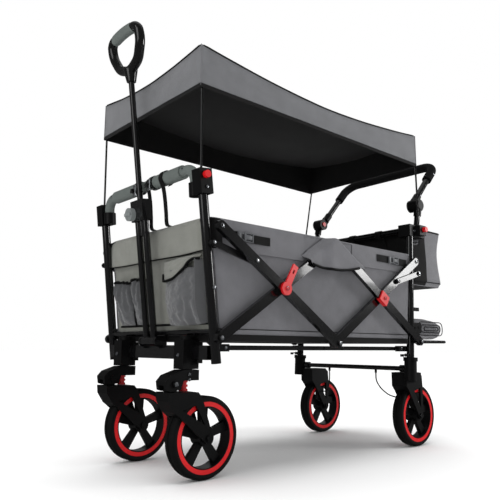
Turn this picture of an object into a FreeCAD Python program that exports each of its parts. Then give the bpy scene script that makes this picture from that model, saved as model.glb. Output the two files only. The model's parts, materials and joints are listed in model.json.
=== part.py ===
"""Folding wagon with a canopy, a pull handle in front and a push handle at the rear.

Millimetres. +Z is up, -X is the front (the pull handle's end) and -Y is the wagon's left side.
The origin is on the ground, midway between the end frames, under the middle of the scissor fold.
"""
import FreeCAD, Part
import math
import os
import Sketcher

from FreeCAD import Placement, Rotation, Vector

doc = FreeCAD.newDocument("FoldingWagon")
sheet = doc.addObject("Spreadsheet::Sheet", "Sizes")

LEFT, RIGHT = -1, 1
FRONT, REAR = -1, 1
X_AXIS, Y_AXIS, Z_AXIS = Vector(1, 0, 0), Vector(0, 1, 0), Vector(0, 0, 1)


# ---------------------------------------------------------------- the sheet of sizes

class Sizes:
    """The wagon's sizes: every name is an aliased cell of the sheet and an attribute here."""

    row = 0
    names = []


size = Sizes()


def add_sizes(title, values):
    """Rows of a named group: a number, or a formula on other named sizes."""
    size.row += 1
    sheet.set(f"A{size.row}", title)
    for name, value in values.items():
        size.row += 1
        sheet.set(f"A{size.row}", name)
        sheet.set(f"B{size.row}", value if isinstance(value, str) else repr(float(value)))
        sheet.setAlias(f"B{size.row}", name)
        size.names.append(name)


def read_sizes():
    """The sheet works out its formulas, and every size becomes an attribute."""
    doc.recompute()
    for name in size.names:
        setattr(size, name, float(sheet.get(name)))


add_sizes("clearances", dict(
    fit_gap=0.05,           # radial, a shaft or tube in its hole
    skin_gap=1.5,           # between flat pieces that pass each other
    travel_gap=4.0,         # around the wheels
))
add_sizes("wheels", dict(
    wheel_radius=100, tyre_width=38, rim_radius="=wheel_radius - 14", rim_bore="=rim_radius - 14",
    rim_width=36,
    hub_radius=21, hub_length=42, spoke_width=17, spoke_depth=14, axle_radius=4,
    tread_depth=1.6, tread_width=6, bolt_head=8,
    front_track="=post_spacing - 193", rear_track="=post_spacing - 83", front_axle_x="=caster_x + wheel_radius - 47",
    rear_axle_x="=post_x + 66",
))
add_sizes("end frames", dict(
    post_radius=12, post_wall=1.5, post_spacing=499, post_x=409, post_ref_height=346,
    front_lean=0.1214, rear_lean=0.0557, front_post_bottom=281, front_post_top=700,
    rear_post_bottom=238, rear_post_top=733, rivet_radius=4.5, rivet_height=3.0,
    hook_height=449, upper_pivot_height=565,
))
add_sizes("scissor fold", dict(
    arm_width=25, arm_thickness=13, arm_inner="=post_spacing / 2 + post_radius + skin_gap", pivot_radius=5,
    low_pivot_height=341, mid_top_height=607, mid_low_height=332,
    arm_end_x="=post_x + 13", arm_end_height=606, stay_width=16, stay_thickness=6,
    saddle_length=38, saddle_wall=3, latch_length=72, latch_width=19, latch_thickness=5,
))
add_sizes("base rails", dict(
    rail_height=12, rail_thickness=8, rail_pivot_x="=post_x - 44", rail_pivot_height=318, rail_pin=4,
    front_rail_inner="=post_spacing / 2 - post_radius - skin_gap - rail_thickness",
    rear_rail_inner="=front_rail_inner - rail_thickness - 2 * skin_gap",
))
add_sizes("front cross members and casters", dict(
    beam_depth=15, beam_height=34, beam_low=289, tube_radius=7, tube_height=346,
    housing_depth=46, housing_width=42, housing_low=266, housing_high=337, stem_radius=8,
    caster_x="=-post_x - 11", crown_width=44, crown_top=264.5, knee_x="=caster_x - 45", knee_height=232,
    knee_radius=5,
    tongue_width=20, fork_width=58, fork_gap=44, elastomer_radius=11, elastomer_x="=caster_x - 7",
))
add_sizes("front hand bar", dict(
    hand_bar_radius=14, hand_bar_x="=-post_x - 47", hand_bar_height=757,
    hand_bar_half="=post_spacing / 2 - post_radius - hand_bar_radius - skin_gap", hand_bar_bend=34,
    hand_leg_low=690, foam_radius=18, foam_near=50, foam_far="=hand_bar_half - 50",
    corner_low=682, corner_high=744, corner_depth=36, corner_lip=7, button_radius=9, button_travel=3.5,
))
add_sizes("pull handle", dict(
    pull_x="=-post_x - 20", pull_height=333, pull_lean=0.129, barrel_radius=13, barrel_half=32,
    lower_tube_radius=9, lower_tube_half_spacing=18, clamp_low=655, clamp_high=712,
    inner_radius=8, inner_low=615, neck_height=1050, neck_length=34,
    knob_radius=18, knob_thickness=14, grip_radius=13.5, grip_height=112, grip_half_width=78,
))
add_sizes("rear top and push handle", dict(
    top_bar_radius=11, top_bar_x="=post_x + 28", top_bar_height=722,
    upright_radius=10, upright_low_x="=post_x + 76", upright_low=700, hinge_x="=upright_low_x + 22",
    hinge_height=822,
    upright_y="=post_spacing / 2 - 13.5", knuckle_radius=22, knuckle_thickness=13,
    push_y="=upright_y - 24", push_radius=11,
    push_bar_x="=hinge_x + 173", push_bar_height=1015, push_bend=52, push_foam_radius=17,
    block_low=698, block_high=738,
))
add_sizes("rear legs", dict(
    socket_radius=20, socket_low=215, socket_high=290, collar_radius=23, collar_height=12,
    leg_bar_radius=7.5, leg_bar_height=253, leg_bar_end="=post_spacing / 2 - 44.5", cable_radius=2.2,
))
add_sizes("canopy", dict(
    canopy_front="=-post_x - 60", canopy_rear="=post_x + 73", canopy_half="=post_spacing / 2 + 5.5",
    canopy_low=959, canopy_corner=1072,
    canopy_long_mid=1036, canopy_short_mid=1050, canopy_middle=1022, canopy_cloth=3,
    pole_radius=3, front_pole_y="=post_spacing / 2 + 0.5", rear_pole_x="=post_x + 46",
    rear_pole_y="=post_spacing / 2 + 20.5",
))
add_sizes("tub and bags", dict(
    tub_half="=post_spacing / 2 + 6.5", tub_top=630, tub_low=335.5, tub_cloth=5,
    tub_end_low="=post_x - 15", tub_end_top="=post_x + 22",
    pocket_depth=28, bag_front="=post_x + 53", bag_rear="=bag_front + 196", bag_wall=8,
    bag_half="=post_spacing / 2 - 14.5", bag_low=535, bag_top=738,
    roll_front="=post_x + 73", roll_rear="=roll_front + 190", roll_half="=post_spacing / 2 - 19.5",
    roll_low=352, roll_high=424,
    u_bar_radius=5, u_bar_height=342,
))

read_sizes()

POST_Y = size.post_spacing / 2
ARM_OUTER = size.arm_inner + size.arm_thickness + size.skin_gap
ARM_FACE = ARM_OUTER + size.arm_thickness
POST_FACE = POST_Y + size.post_radius + size.fit_gap


def cell(name):
    """The name of a size as an expression reads it."""
    return f"Sizes.{name}"


# ---------------------------------------------------------------- primitives bound to the sheet

def set_size(item, prop, value):
    """Bind a property to the sheet, or set a length that was worked out from it."""
    if isinstance(value, str):
        item.setExpression(prop, value)
    else:
        setattr(item, prop, value)


def cylinder(name, radius, length, base, direction=Z_AXIS):
    item = doc.addObject("Part::Cylinder", name)
    set_size(item, "Radius", radius)
    set_size(item, "Height", length)
    item.Placement = Placement(base, Rotation(Z_AXIS, direction))
    return item


def cone(name, low_radius, high_radius, length, base, direction=Z_AXIS):
    item = doc.addObject("Part::Cone", name)
    set_size(item, "Radius1", low_radius)
    set_size(item, "Radius2", high_radius)
    set_size(item, "Height", length)
    item.Placement = Placement(base, Rotation(Z_AXIS, direction))
    return item


def box(name, along_x, along_y, along_z, corner, turn=Rotation()):
    item = doc.addObject("Part::Box", name)
    set_size(item, "Length", along_x)
    set_size(item, "Width", along_y)
    set_size(item, "Height", along_z)
    item.Placement = Placement(corner, turn)
    return item


def fuse(name, items):
    joined = doc.addObject("Part::MultiFuse", name)
    joined.Shapes = items
    return joined


def cut(name, base, tools):
    whole = doc.addObject("Part::Cut", name)
    whole.Base = base
    whole.Tool = tools[0] if len(tools) == 1 else fuse(name + "_tools", tools)
    return whole


def feature(name, shape):
    item = doc.addObject("Part::Feature", name)
    item.Shape = shape
    return item


def mirrored(item):
    """The same piece on the other side of the wagon."""
    other = doc.addObject("Part::Mirroring", item.Name + "_mirrored")
    other.Source = item
    other.Normal = Y_AXIS
    return other


parts = []


def node(label, items):
    """Name the finished piece. Several separate solids make one group."""
    if len(items) == 1:
        whole = items[0]
    else:
        whole = doc.addObject("Part::Compound", "Group_" + label)
        whole.Links = items
    whole.Label = label
    parts.append(whole)
    return whole


def pair(label, items):
    """A left piece, or several, and the same on the right, as one group."""
    return node(label, items + [mirrored(item) for item in items])


def side_node(label, items, side):
    """The left piece under its own name, or its mirror image under the right one's."""
    if side == LEFT:
        return node(f"{label}_left", items)
    return node(f"{label}_right", [mirrored(item) for item in items])


# ---------------------------------------------------------------- sketched bodies

def origin_plane(body, role):
    return next(f for f in body.Origin.OriginFeatures if f.Role == role)


def new_sketch(body, name, role):
    sketch = body.newObject("Sketcher::SketchObject", name)
    sketch.AttachmentSupport = [(origin_plane(body, role), "")]
    sketch.MapMode = "FlatFace"
    return sketch


def tie(sketch, constraint, value):
    """Give a constraint its size: from the sheet where it is text."""
    if isinstance(value, str):
        sketch.setExpression(f"Constraints[{constraint}]", value)
    else:
        sketch.setDatum(constraint, value)


def add_circle(sketch, radius, across=0.0, up=0.0):
    index = sketch.addGeometry(Part.Circle(Vector(across, up, 0), Z_AXIS, 5), False)
    tie(sketch, sketch.addConstraint(Sketcher.Constraint("Radius", index, 5.0)), radius)
    for kind, value in (("DistanceX", across), ("DistanceY", up)):
        link = Sketcher.Constraint(kind, -1, 1, index, 3, value)
        sketch.addConstraint(link)


def add_outline(sketch, points):
    """A closed outline of straight sides; each corner is held at its place."""
    first = sketch.GeometryCount
    count = len(points)
    for number, (across, up) in enumerate(points):
        following = points[(number + 1) % count]
        line = Part.LineSegment(Vector(across, up, 0), Vector(*following, 0))
        sketch.addGeometry(line, False)
    for number, (across, up) in enumerate(points):
        here = first + number
        sketch.addConstraint(Sketcher.Constraint("Coincident", here, 2, first + (number + 1) % count, 1))
        sketch.addConstraint(Sketcher.Constraint("DistanceX", -1, 1, here, 1, across))
        sketch.addConstraint(Sketcher.Constraint("DistanceY", -1, 1, here, 1, up))


def add_slot(sketch, length, radius):
    """The outline of a flat bar with round ends, from the origin along the sketch's first axis."""
    top = sketch.addGeometry(Part.LineSegment(Vector(length, radius, 0), Vector(0, radius, 0)), False)
    start = sketch.addGeometry(
        Part.ArcOfCircle(Part.Circle(Vector(), Z_AXIS, radius), math.pi / 2, 3 * math.pi / 2), False)
    low = sketch.addGeometry(Part.LineSegment(Vector(0, -radius, 0), Vector(length, -radius, 0)), False)
    end = sketch.addGeometry(
        Part.ArcOfCircle(Part.Circle(Vector(length, 0, 0), Z_AXIS, radius), -math.pi / 2, math.pi / 2),
        False)
    for one, two in ((top, start), (start, low), (low, end), (end, top)):
        sketch.addConstraint(Sketcher.Constraint("Tangent", one, 2, two, 1))
    sketch.addConstraint(Sketcher.Constraint("Coincident", start, 3, -1, 1))
    sketch.addConstraint(Sketcher.Constraint("DistanceX", -1, 1, end, 3, length))
    sketch.addConstraint(Sketcher.Constraint("DistanceY", -1, 1, end, 3, 0))
    return sketch.addConstraint(Sketcher.Constraint("Radius", start, radius))


def pad(body, name, sketch, length, symmetric=True):
    solid = body.newObject("PartDesign::Pad", name)
    solid.Profile = sketch
    solid.SideType = "Symmetric" if symmetric else "One side"
    set_size(solid, "Length", length)
    sketch.Visibility = False
    body.Tip = solid
    return solid


def pocket(body, name, sketch, length):
    """A cut that goes both ways from the sketch."""
    hollow = body.newObject("PartDesign::Pocket", name)
    hollow.Profile = sketch
    hollow.SideType = "Symmetric"
    set_size(hollow, "Length", length)
    body.Tip = hollow
    return hollow


# ---------------------------------------------------------------- bent tubes

def route(points, radii, closed=False):
    """Straight runs through the points with a tangent arc at each inner point."""
    count = len(points)
    corners = range(count) if closed else range(1, count - 1)
    entry = {0: points[0], count - 1: points[-1]}
    leave = dict(entry)
    arcs = {}
    for number in corners:
        here = points[number]
        back = (points[number - 1] - here).normalize()
        ahead = (points[(number + 1) % count] - here).normalize()
        radius = radii if isinstance(radii, (int, float)) else radii[number]
        half = back.getAngle(ahead) / 2
        reach = radius / math.tan(half)
        centre = here + (back + ahead).normalize() * (radius / math.sin(half))
        entry[number] = here + back * reach
        leave[number] = here + ahead * reach
        middle = centre + (here - centre).normalize() * radius
        arcs[number] = Part.Arc(entry[number], middle, leave[number]).toShape()
    edges = []
    for number in range(count if closed else count - 1):
        following = (number + 1) % count
        if (leave[number] - entry[following]).Length > 0.01:
            edges.append(Part.LineSegment(leave[number], entry[following]).toShape())
        if following in arcs:
            edges.append(arcs[following])
    return Part.Wire(edges)


def swept(wire, radius):
    """A round bar along a route."""
    start = wire.Edges[0]
    begin = start.valueAt(start.FirstParameter)
    tangent = start.tangentAt(start.FirstParameter)
    section = Part.Wire(Part.makeCircle(radius, begin, tangent))
    return wire.makePipeShell([section], True, True)


def swept_tube(wire, radius, wall):
    return swept(wire, radius).cut(swept(wire, radius - wall))


# ---------------------------------------------------------------- places worked out from the sizes

def post_point(end, height, side=LEFT):
    """A point on the axis of an end frame's post."""
    lean = size.front_lean if end == FRONT else size.rear_lean
    along = size.post_x + lean * (height - size.post_ref_height)
    return Vector(end * along, side * POST_Y, height)


def toward(start, end):
    return (end - start).normalize()


def arm_places():
    """The scissor fold's pivots on the rear half, in the plane of X and Z."""
    low = Vector(size.post_x, 0, size.low_pivot_height)
    top = Vector(0, 0, size.mid_top_height)
    mid = Vector(0, 0, size.mid_low_height)
    slope = toward(low, top)
    # the crossing stands where both halves of the middle diamond are equally long
    rise = (size.mid_top_height - size.mid_low_height) / 2
    crossing = low + slope * ((size.mid_low_height + rise - low.z) / slope.z)
    end = Vector(size.arm_end_x, 0, size.arm_end_height)
    return low, top, mid, crossing, end


LOW, TOP, MID, CROSSING, ARM_END = arm_places()
LONG_ARM = (TOP - LOW).Length
LOW_TO_CROSSING = (CROSSING - LOW).Length
MID_TO_CROSSING = (CROSSING - MID).Length
CROSSING_TO_END = (ARM_END - CROSSING).Length


def folded(point, angle):
    """Where a point of the rear short arm goes when the fold turns by an angle."""
    turn = Rotation(Y_AXIS, math.degrees(angle))
    crossing = LOW + turn.multVec(CROSSING - LOW)
    return crossing + Rotation(Y_AXIS, -math.degrees(angle)).multVec(point - CROSSING)


FOLD_ANGLE = math.radians(46.0)


def stay_place(end):
    """Where a stay meets the short arm: equally far from the post's pivot open and folded."""
    lean = size.front_lean if end == FRONT else size.rear_lean
    post = post_point(REAR, size.upper_pivot_height)
    post.x = size.post_x + lean * (size.upper_pivot_height - size.post_ref_height)
    post.y = 0
    along = toward(CROSSING, ARM_END)
    near, far = 40.0, CROSSING_TO_END
    for _ in range(60):
        middle = (near + far) / 2
        point = CROSSING + along * middle
        change = (folded(point, FOLD_ANGLE) - post).Length - (point - post).Length
        if change > 0:
            far = middle
        else:
            near = middle
    return post, CROSSING + along * middle


# ---------------------------------------------------------------- wheels

def make_rim(label, centre):
    """Band, hub and five spokes, turning about Y."""
    body = doc.addObject("PartDesign::Body", label)
    band = new_sketch(body, label + "_band", "XZ_Plane")
    add_circle(band, cell("rim_radius"))
    add_circle(band, cell("rim_bore"))
    pad(body, label + "_band_pad", band, cell("rim_width"))
    hub = new_sketch(body, label + "_hub", "XZ_Plane")
    add_circle(hub, cell("hub_radius"))
    pad(body, label + "_hub_pad", hub, cell("hub_length"))
    spoke = new_sketch(body, label + "_spoke", "XZ_Plane")
    wide, narrow = size.spoke_width * 0.75, size.spoke_width * 0.5
    start, end = size.hub_radius * 0.6, (size.rim_bore + size.rim_radius) / 2
    add_outline(spoke, [(-narrow, start), (narrow, start), (wide, end), (-wide, end)])
    web = pad(body, label + "_spoke_pad", spoke, cell("spoke_depth"))
    pattern = body.newObject("PartDesign::PolarPattern", label + "_spokes")
    pattern.Originals = [web]
    pattern.Axis = (spoke, ["N_Axis"])
    pattern.Angle = 360
    pattern.Occurrences = 5
    body.Tip = pattern
    bore = new_sketch(body, label + "_bore", "XZ_Plane")
    add_circle(bore, "Sizes.axle_radius + Sizes.fit_gap")
    pocket(body, label + "_bore_cut", bore, "Sizes.hub_length * 2")
    body.Placement = Placement(centre, Rotation())
    return node(label, [body])


def make_tyre(label, centre):
    """A tyre with rounded shoulders and two grooves round the tread."""
    body = doc.addObject("PartDesign::Body", label)
    sketch = new_sketch(body, label + "_section", "XZ_Plane")
    add_circle(sketch, cell("wheel_radius"))
    add_circle(sketch, "Sizes.rim_radius + Sizes.fit_gap")
    ring = pad(body, label + "_pad", sketch, cell("tyre_width"))
    doc.recompute()
    outer = [f"Edge{n}" for n, e in enumerate(ring.Shape.Edges, 1)
             if abs(e.BoundBox.XLength - 2 * size.wheel_radius) < 0.1 and e.BoundBox.YLength < 0.1]
    rounded = body.newObject("PartDesign::Fillet", label + "_shoulder")
    rounded.Base = (ring, outer)
    rounded.Radius = (size.wheel_radius - size.rim_radius) * 0.62
    body.Tip = rounded
    groove = new_sketch(body, label + "_groove", "XZ_Plane")
    add_circle(groove, "Sizes.wheel_radius + Sizes.tread_depth")
    add_circle(groove, "Sizes.wheel_radius - Sizes.tread_depth")
    channel = pocket(body, label + "_groove_cut", groove, "Sizes.tread_width / 2")
    channel.setExpression("Length", "Sizes.tread_width / 2")
    body.Placement = Placement(centre, Rotation())
    return node(label, [body])


def make_wheels():
    for side, word in ((LEFT, "left"), (RIGHT, "right")):
        front = Vector(size.front_axle_x, side * size.front_track / 2, size.wheel_radius)
        rear = Vector(size.rear_axle_x, side * size.rear_track / 2, size.wheel_radius)
        for end, centre in (("front", front), ("rear", rear)):
            make_rim(f"{end}_rim_{word}", centre)
            make_tyre(f"{end}_tyre_{word}", centre)


def axle(name, x, y):
    """A bolt through a wheel and its fork, with a head at each end."""
    half = size.fork_width / 2
    shank = cylinder(name + "_shank", cell("axle_radius"), "Sizes.fork_width", Vector(x, y - half,
                     size.wheel_radius), Y_AXIS)
    heads = [
        cylinder(name + "_head_out", cell("bolt_head"), 4.0, Vector(x, y - half - 4, size.wheel_radius),
                 Y_AXIS),
        cylinder(name + "_head_in", cell("bolt_head"), 4.0, Vector(x, y + half, size.wheel_radius),
                 Y_AXIS),
    ]
    return fuse(name, [shank] + heads)


# ---------------------------------------------------------------- forks and casters

def fork_blank(name, outline, window, hub_x, y):
    """Two cheeks joined over the wheel; each cheek has a window that leaves two legs."""
    body = doc.addObject("PartDesign::Body", name)
    side = new_sketch(body, name + "_side", "XZ_Plane")
    add_outline(side, outline)
    pad(body, name + "_cheeks", side, cell("fork_width"))
    eye = new_sketch(body, name + "_eye", "XZ_Plane")
    add_circle(eye, "Sizes.bolt_head * 1.6", hub_x, size.wheel_radius)
    pad(body, name + "_eye_pad", eye, cell("fork_width"))
    room = new_sketch(body, name + "_wheel_room", "XZ_Plane")
    add_circle(room, "Sizes.wheel_radius + Sizes.travel_gap", hub_x, size.wheel_radius)
    pocket(body, name + "_wheel_room_cut", room, cell("fork_gap"))
    holes = new_sketch(body, name + "_window", "XZ_Plane")
    add_outline(holes, window)
    pocket(body, name + "_window_cut", holes, "Sizes.fork_width * 2")
    bore = new_sketch(body, name + "_bore", "XZ_Plane")
    add_circle(bore, "Sizes.axle_radius + Sizes.fit_gap", hub_x, size.wheel_radius)
    pocket(body, name + "_bore_cut", bore, "Sizes.fork_width * 2")
    body.Placement = Placement(Vector(0, y, 0), Rotation())
    return body


def make_front_fork(side):
    """The lower half of a caster: a tongue up to the knee pivot, a guard over the wheel, two legs."""
    word = "left" if side == LEFT else "right"
    name = f"front_fork_{word}"
    y = side * size.front_track / 2
    hub, knee, high = size.front_axle_x, size.knee_x, size.knee_height
    blank = fork_blank(
        name + "_blank",
        [(knee - 22, high - 19), (hub - 34, high - 21), (hub - 22, high - 34), (hub + 12, size.wheel_radius + 4),
         (hub - 9, size.wheel_radius - 11), (knee - 3, high - 66), (knee - 20, high - 40)],
        [(knee + 18, high - 62), (hub - 40, high - 52), (hub - 12, high - 100)], hub, y)
    tongue = box(name + "_tongue", 24.0, cell("tongue_width"), 24.0,
                 Vector(knee - 12, y - size.tongue_width / 2, high - 24))
    eye = cylinder(name + "_knee", 12.0, cell("tongue_width"),
                   Vector(knee, y - size.tongue_width / 2, high), Y_AXIS)
    hole = cylinder(name + "_knee_hole", "Sizes.knee_radius + Sizes.fit_gap", 200.0,
                    Vector(knee, y - 100, high), Y_AXIS)
    whole = cut(name + "_solid", fuse(name + "_joined", [blank, tongue, eye]), [hole])
    node(name, [whole, axle(name + "_axle", hub, y)])


def make_crown(side):
    """The upper half of a caster: swivel stem, a housing that bends forward, and the knee pin."""
    word = "left" if side == LEFT else "right"
    name = f"caster_crown_{word}"
    y = side * size.front_track / 2
    knee, high, top = size.knee_x, size.knee_height, size.crown_top
    body = doc.addObject("PartDesign::Body", name + "_housing")
    outline = new_sketch(body, name + "_outline", "XZ_Plane")
    add_outline(outline, [(size.caster_x + 24, top), (size.caster_x - 20, top), (knee - 14, high + 20),
                          (knee - 27, high + 6), (knee - 24, high - 14), (knee - 12, high - 17.5),
                          (knee + 17, high - 14), (knee + 24, high + 7), (size.caster_x + 24, high + 7)])
    pad(body, name + "_block", outline, cell("crown_width"))
    room = new_sketch(body, name + "_tongue_room", "XZ_Plane")
    add_outline(room, [(knee - 60, high - 60), (knee + 15, high - 60), (knee + 15, high + 14.5),
                       (knee - 15, high + 14.5)])
    pocket(body, name + "_tongue_cut", room, "Sizes.tongue_width + Sizes.skin_gap")
    pin_hole = new_sketch(body, name + "_pin_hole", "XZ_Plane")
    add_circle(pin_hole, "Sizes.knee_radius + Sizes.fit_gap", knee, high)
    pocket(body, name + "_pin_cut", pin_hole, 200.0)
    body.Placement = Placement(Vector(0, y, 0), Rotation())
    stem = cylinder(name + "_stem", cell("stem_radius"), 21.0, Vector(size.caster_x, y, top), Z_AXIS)
    half = size.crown_width / 2 + 1
    pin = cylinder(name + "_pin", cell("knee_radius"), 2 * half, Vector(knee, y - half, high), Y_AXIS)
    heads = [cylinder(f"{name}_pin_head_{number}", 8.0, 3.0, Vector(knee, start, high), Y_AXIS)
             for number, start in enumerate((y - half - 3, y + half))]
    node(name, [fuse(name + "_solid", [body, stem]), fuse(name + "_knee_pin", [pin] + heads)])


def make_elastomer(side):
    """A ribbed rubber spring between the crown and the fork."""
    word = "left" if side == LEFT else "right"
    name = f"elastomer_{word}"
    y = side * size.front_track / 2
    low, high = size.knee_height - 19 + 0.3, size.knee_height + 7 - 0.05
    step = (high - low) / 5
    centre = Vector(size.elastomer_x, y, low)
    core = cylinder(name + "_core", "Sizes.elastomer_radius * 0.75", high - low, centre)
    ribs = [cylinder(f"{name}_rib_{number}", cell("elastomer_radius"), step,
                     centre + Vector(0, 0, step * 2 * number)) for number in range(3)]
    node(name, [fuse(name + "_solid", [core] + ribs)])


def make_casters():
    for side in (LEFT, RIGHT):
        make_front_fork(side)
        make_crown(side)
        make_elastomer(side)


def caster_housing():
    """The block that clamps on the axle beam and carries a caster's stem."""
    name = "caster_housing"
    y = -size.front_track / 2
    half_x, half_y = size.housing_depth / 2, size.housing_width / 2
    tall = size.housing_high - size.housing_low
    block = box(name + "_block", cell("housing_depth"), cell("housing_width"), tall,
                Vector(size.caster_x - half_x, y - half_y, size.housing_low))
    flange = box(name + "_flange", 16.0, "Sizes.housing_width + 20", 52.0,
                 Vector(size.caster_x + half_x - 12, y - half_y - 10, size.housing_low + 14))
    neck = cylinder(name + "_top", 17.0, 9.0, Vector(size.caster_x, y, size.housing_high))
    gap = size.fit_gap
    beam_room = box(name + "_beam_room", size.beam_depth + 2 * gap, 200.0, size.beam_height + 2 * gap,
                    Vector(-size.post_x + 4 - size.beam_depth - gap, y - 100, size.beam_low - gap))
    stem_room = cylinder(name + "_stem_room", "Sizes.stem_radius + Sizes.fit_gap", 22.5,
                         Vector(size.caster_x, y, size.housing_low - 0.5))
    return cut(name, fuse(name + "_joined", [block, flange, neck]), [beam_room, stem_room])


# ---------------------------------------------------------------- end frames

def post(name, end, bottom, top):
    """One leaning post: a round tube."""
    low, high = post_point(end, bottom), post_point(end, top)
    length = (high - low).Length
    body = doc.addObject("PartDesign::Body", name)
    ring = new_sketch(body, name + "_ring", "XY_Plane")
    add_circle(ring, cell("post_radius"))
    add_circle(ring, "Sizes.post_radius - Sizes.post_wall")
    pad(body, name + "_pad", ring, length, symmetric=False)
    body.Placement = Placement(low, Rotation(Z_AXIS, high - low))
    return body


def rail_lug(name, end):
    """The tab on a post that the base rail pivots on, with its pin."""
    inner = size.front_rail_inner if end == FRONT else size.rear_rail_inner
    face = inner + size.rail_thickness + size.skin_gap
    near, far = size.rail_pivot_x - 10, size.post_x - size.post_radius + 3
    tab = box(name + "_tab", far - near, POST_Y - size.post_radius + 4 - face, 18.0,
              Vector(near if end == REAR else -far, -(POST_Y - size.post_radius + 4),
                     size.rail_pivot_height - 9))
    pin = cylinder(name + "_pin", cell("rail_pin"), face - inner + 0.5,
                   Vector(end * size.rail_pivot_x, -face - 0.5, size.rail_pivot_height), Y_AXIS)
    return [tab, pin]


def rivet(name, base, direction):
    """A domed head that stands on a face."""
    foot = cylinder(name + "_foot", cell("rivet_radius"), 1.2, base, direction)
    dome = cone(name + "_dome", cell("rivet_radius"), "Sizes.rivet_radius * 0.5", "Sizes.rivet_height - 1.2",
                base + direction * 1.2, direction)
    return fuse(name, [foot, dome])


def make_posts():
    front = post("front_post", FRONT, size.front_post_bottom, size.front_post_top)
    pair("front_posts", [fuse("front_post_whole", [front] + rail_lug("front_lug", FRONT))])
    rear = post("rear_post", REAR, size.rear_post_bottom, size.rear_post_top)
    pair("rear_posts", [fuse("rear_post_whole", [rear] + rail_lug("rear_lug", REAR))])


def pivot_pin(name, x, height, start, end, head):
    """A pin along Y on the left side, from the inner to the outer distance, with an outer head."""
    shank = cylinder(name + "_shank", cell("pivot_radius"), end - start, Vector(x, -start, height), -Y_AXIS)
    cap = cylinder(name + "_head", "Sizes.pivot_radius + 2.5", head, Vector(x, -end, height), -Y_AXIS)
    return fuse(name, [shank, cap])


def make_front_cross_members():
    inner = POST_Y - size.post_radius - 0.3
    back = -size.post_x + 4
    beam = box("axle_beam_outer", cell("beam_depth"), 2 * inner, cell("beam_height"),
               Vector(back - size.beam_depth, -inner, size.beam_low))
    hollow = box("axle_beam_hollow", "Sizes.beam_depth - 4", 2 * inner, "Sizes.beam_height - 4",
                 Vector(back - size.beam_depth + 2, -inner, size.beam_low + 2))
    ears = []
    for side in (LEFT, RIGHT):
        ear_y = side * (size.barrel_half + 6)
        ears.append(box(f"handle_ear_{side + 1}", back - size.pull_x, 6.0, 32.0,
                        Vector(size.pull_x, ear_y - 3, size.pull_height - 18)))
        ears.append(cylinder(f"handle_ear_round_{side + 1}", 14.0, 6.0,
                             Vector(size.pull_x, ear_y - 3, size.pull_height), Y_AXIS))
    pin = cylinder("handle_pin", cell("pivot_radius"), 2 * size.barrel_half + 18,
                   Vector(size.pull_x, -size.barrel_half - 9, size.pull_height), Y_AXIS)
    shell = cut("axle_beam_tube", beam, [hollow])
    node("axle_beam", [fuse("axle_beam_whole", [shell] + ears + [pin])])


def make_front_fasteners():
    """Thin cross tube, pivot pins, rivets on the posts and the clips on the hand bar."""
    inner = POST_Y - size.post_radius - 0.3
    tube = cylinder("front_cross_tube", cell("tube_radius"), 2 * inner,
                    Vector(post_point(FRONT, size.tube_height).x, -inner, size.tube_height + 9), Y_AXIS)
    low = pivot_pin("front_low_pin", -size.post_x, size.low_pivot_height, POST_FACE, size.arm_inner
                    + size.arm_thickness + 0.3, 3.0)
    stay_post, _ = stay_place(FRONT)
    stay_pin = pivot_pin("front_stay_pin", -stay_post.x, stay_post.z, POST_FACE, size.arm_inner
                         + size.arm_thickness + 0.3, 3.0)
    hook = post_point(FRONT, size.hook_height + 10)
    head = rivet("front_hook_rivet", Vector(hook.x, -POST_FACE, hook.z), -Y_AXIS)
    clips = []
    for side in (LEFT, RIGHT):
        start = Vector(size.hand_bar_x, side * 38 - 5, size.hand_bar_height)
        ring = cylinder(f"clip_ring_{side + 1}", "Sizes.hand_bar_radius + 4", 10.0, start, Y_AXIS)
        hole = cylinder(f"clip_hole_{side + 1}", "Sizes.hand_bar_radius + Sizes.fit_gap", 12.0,
                        start - Vector(0, 1, 0), Y_AXIS)
        ear = box(f"clip_ear_{side + 1}", 16.0, 10.0, 12.0, start + Vector(-30, 0, -18))
        clips.append(cut(f"clip_{side + 1}", fuse(f"clip_joined_{side + 1}", [ring, ear]), [hole]))
    others = [mirrored(item) for item in (low, stay_pin, head)]
    node("front_fasteners", [tube, low, stay_pin, head] + clips + others)


def make_hand_bar():
    half, high, bend = size.hand_bar_half, size.hand_bar_height, size.hand_bar_bend
    leg_x = post_point(FRONT, size.hand_leg_low).x
    points = [Vector(leg_x, -half, size.hand_leg_low), Vector(size.hand_bar_x, -half, high),
              Vector(size.hand_bar_x, half, high), Vector(leg_x, half, size.hand_leg_low)]
    bar = feature("hand_bar_tube", swept_tube(route(points, bend), size.hand_bar_radius, 2.0))
    node("front_top_bar", [bar])
    sleeves = []
    for number, side in enumerate((LEFT, RIGHT)):
        middle = side * (size.foam_near + size.foam_far) / 2
        long = size.foam_far - size.foam_near
        start = Vector(size.hand_bar_x, middle - long / 2, high)
        foam = cylinder(f"foam_{number}", cell("foam_radius"), "Sizes.foam_far - Sizes.foam_near", start, Y_AXIS)
        hole = cylinder(f"foam_hole_{number}", "Sizes.hand_bar_radius + Sizes.fit_gap", long + 2,
                        start - Vector(0, 1, 0), Y_AXIS)
        sleeves.append(cut(f"foam_sleeve_{number}", foam, [hole]))
    node("front_grips", sleeves)


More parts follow.
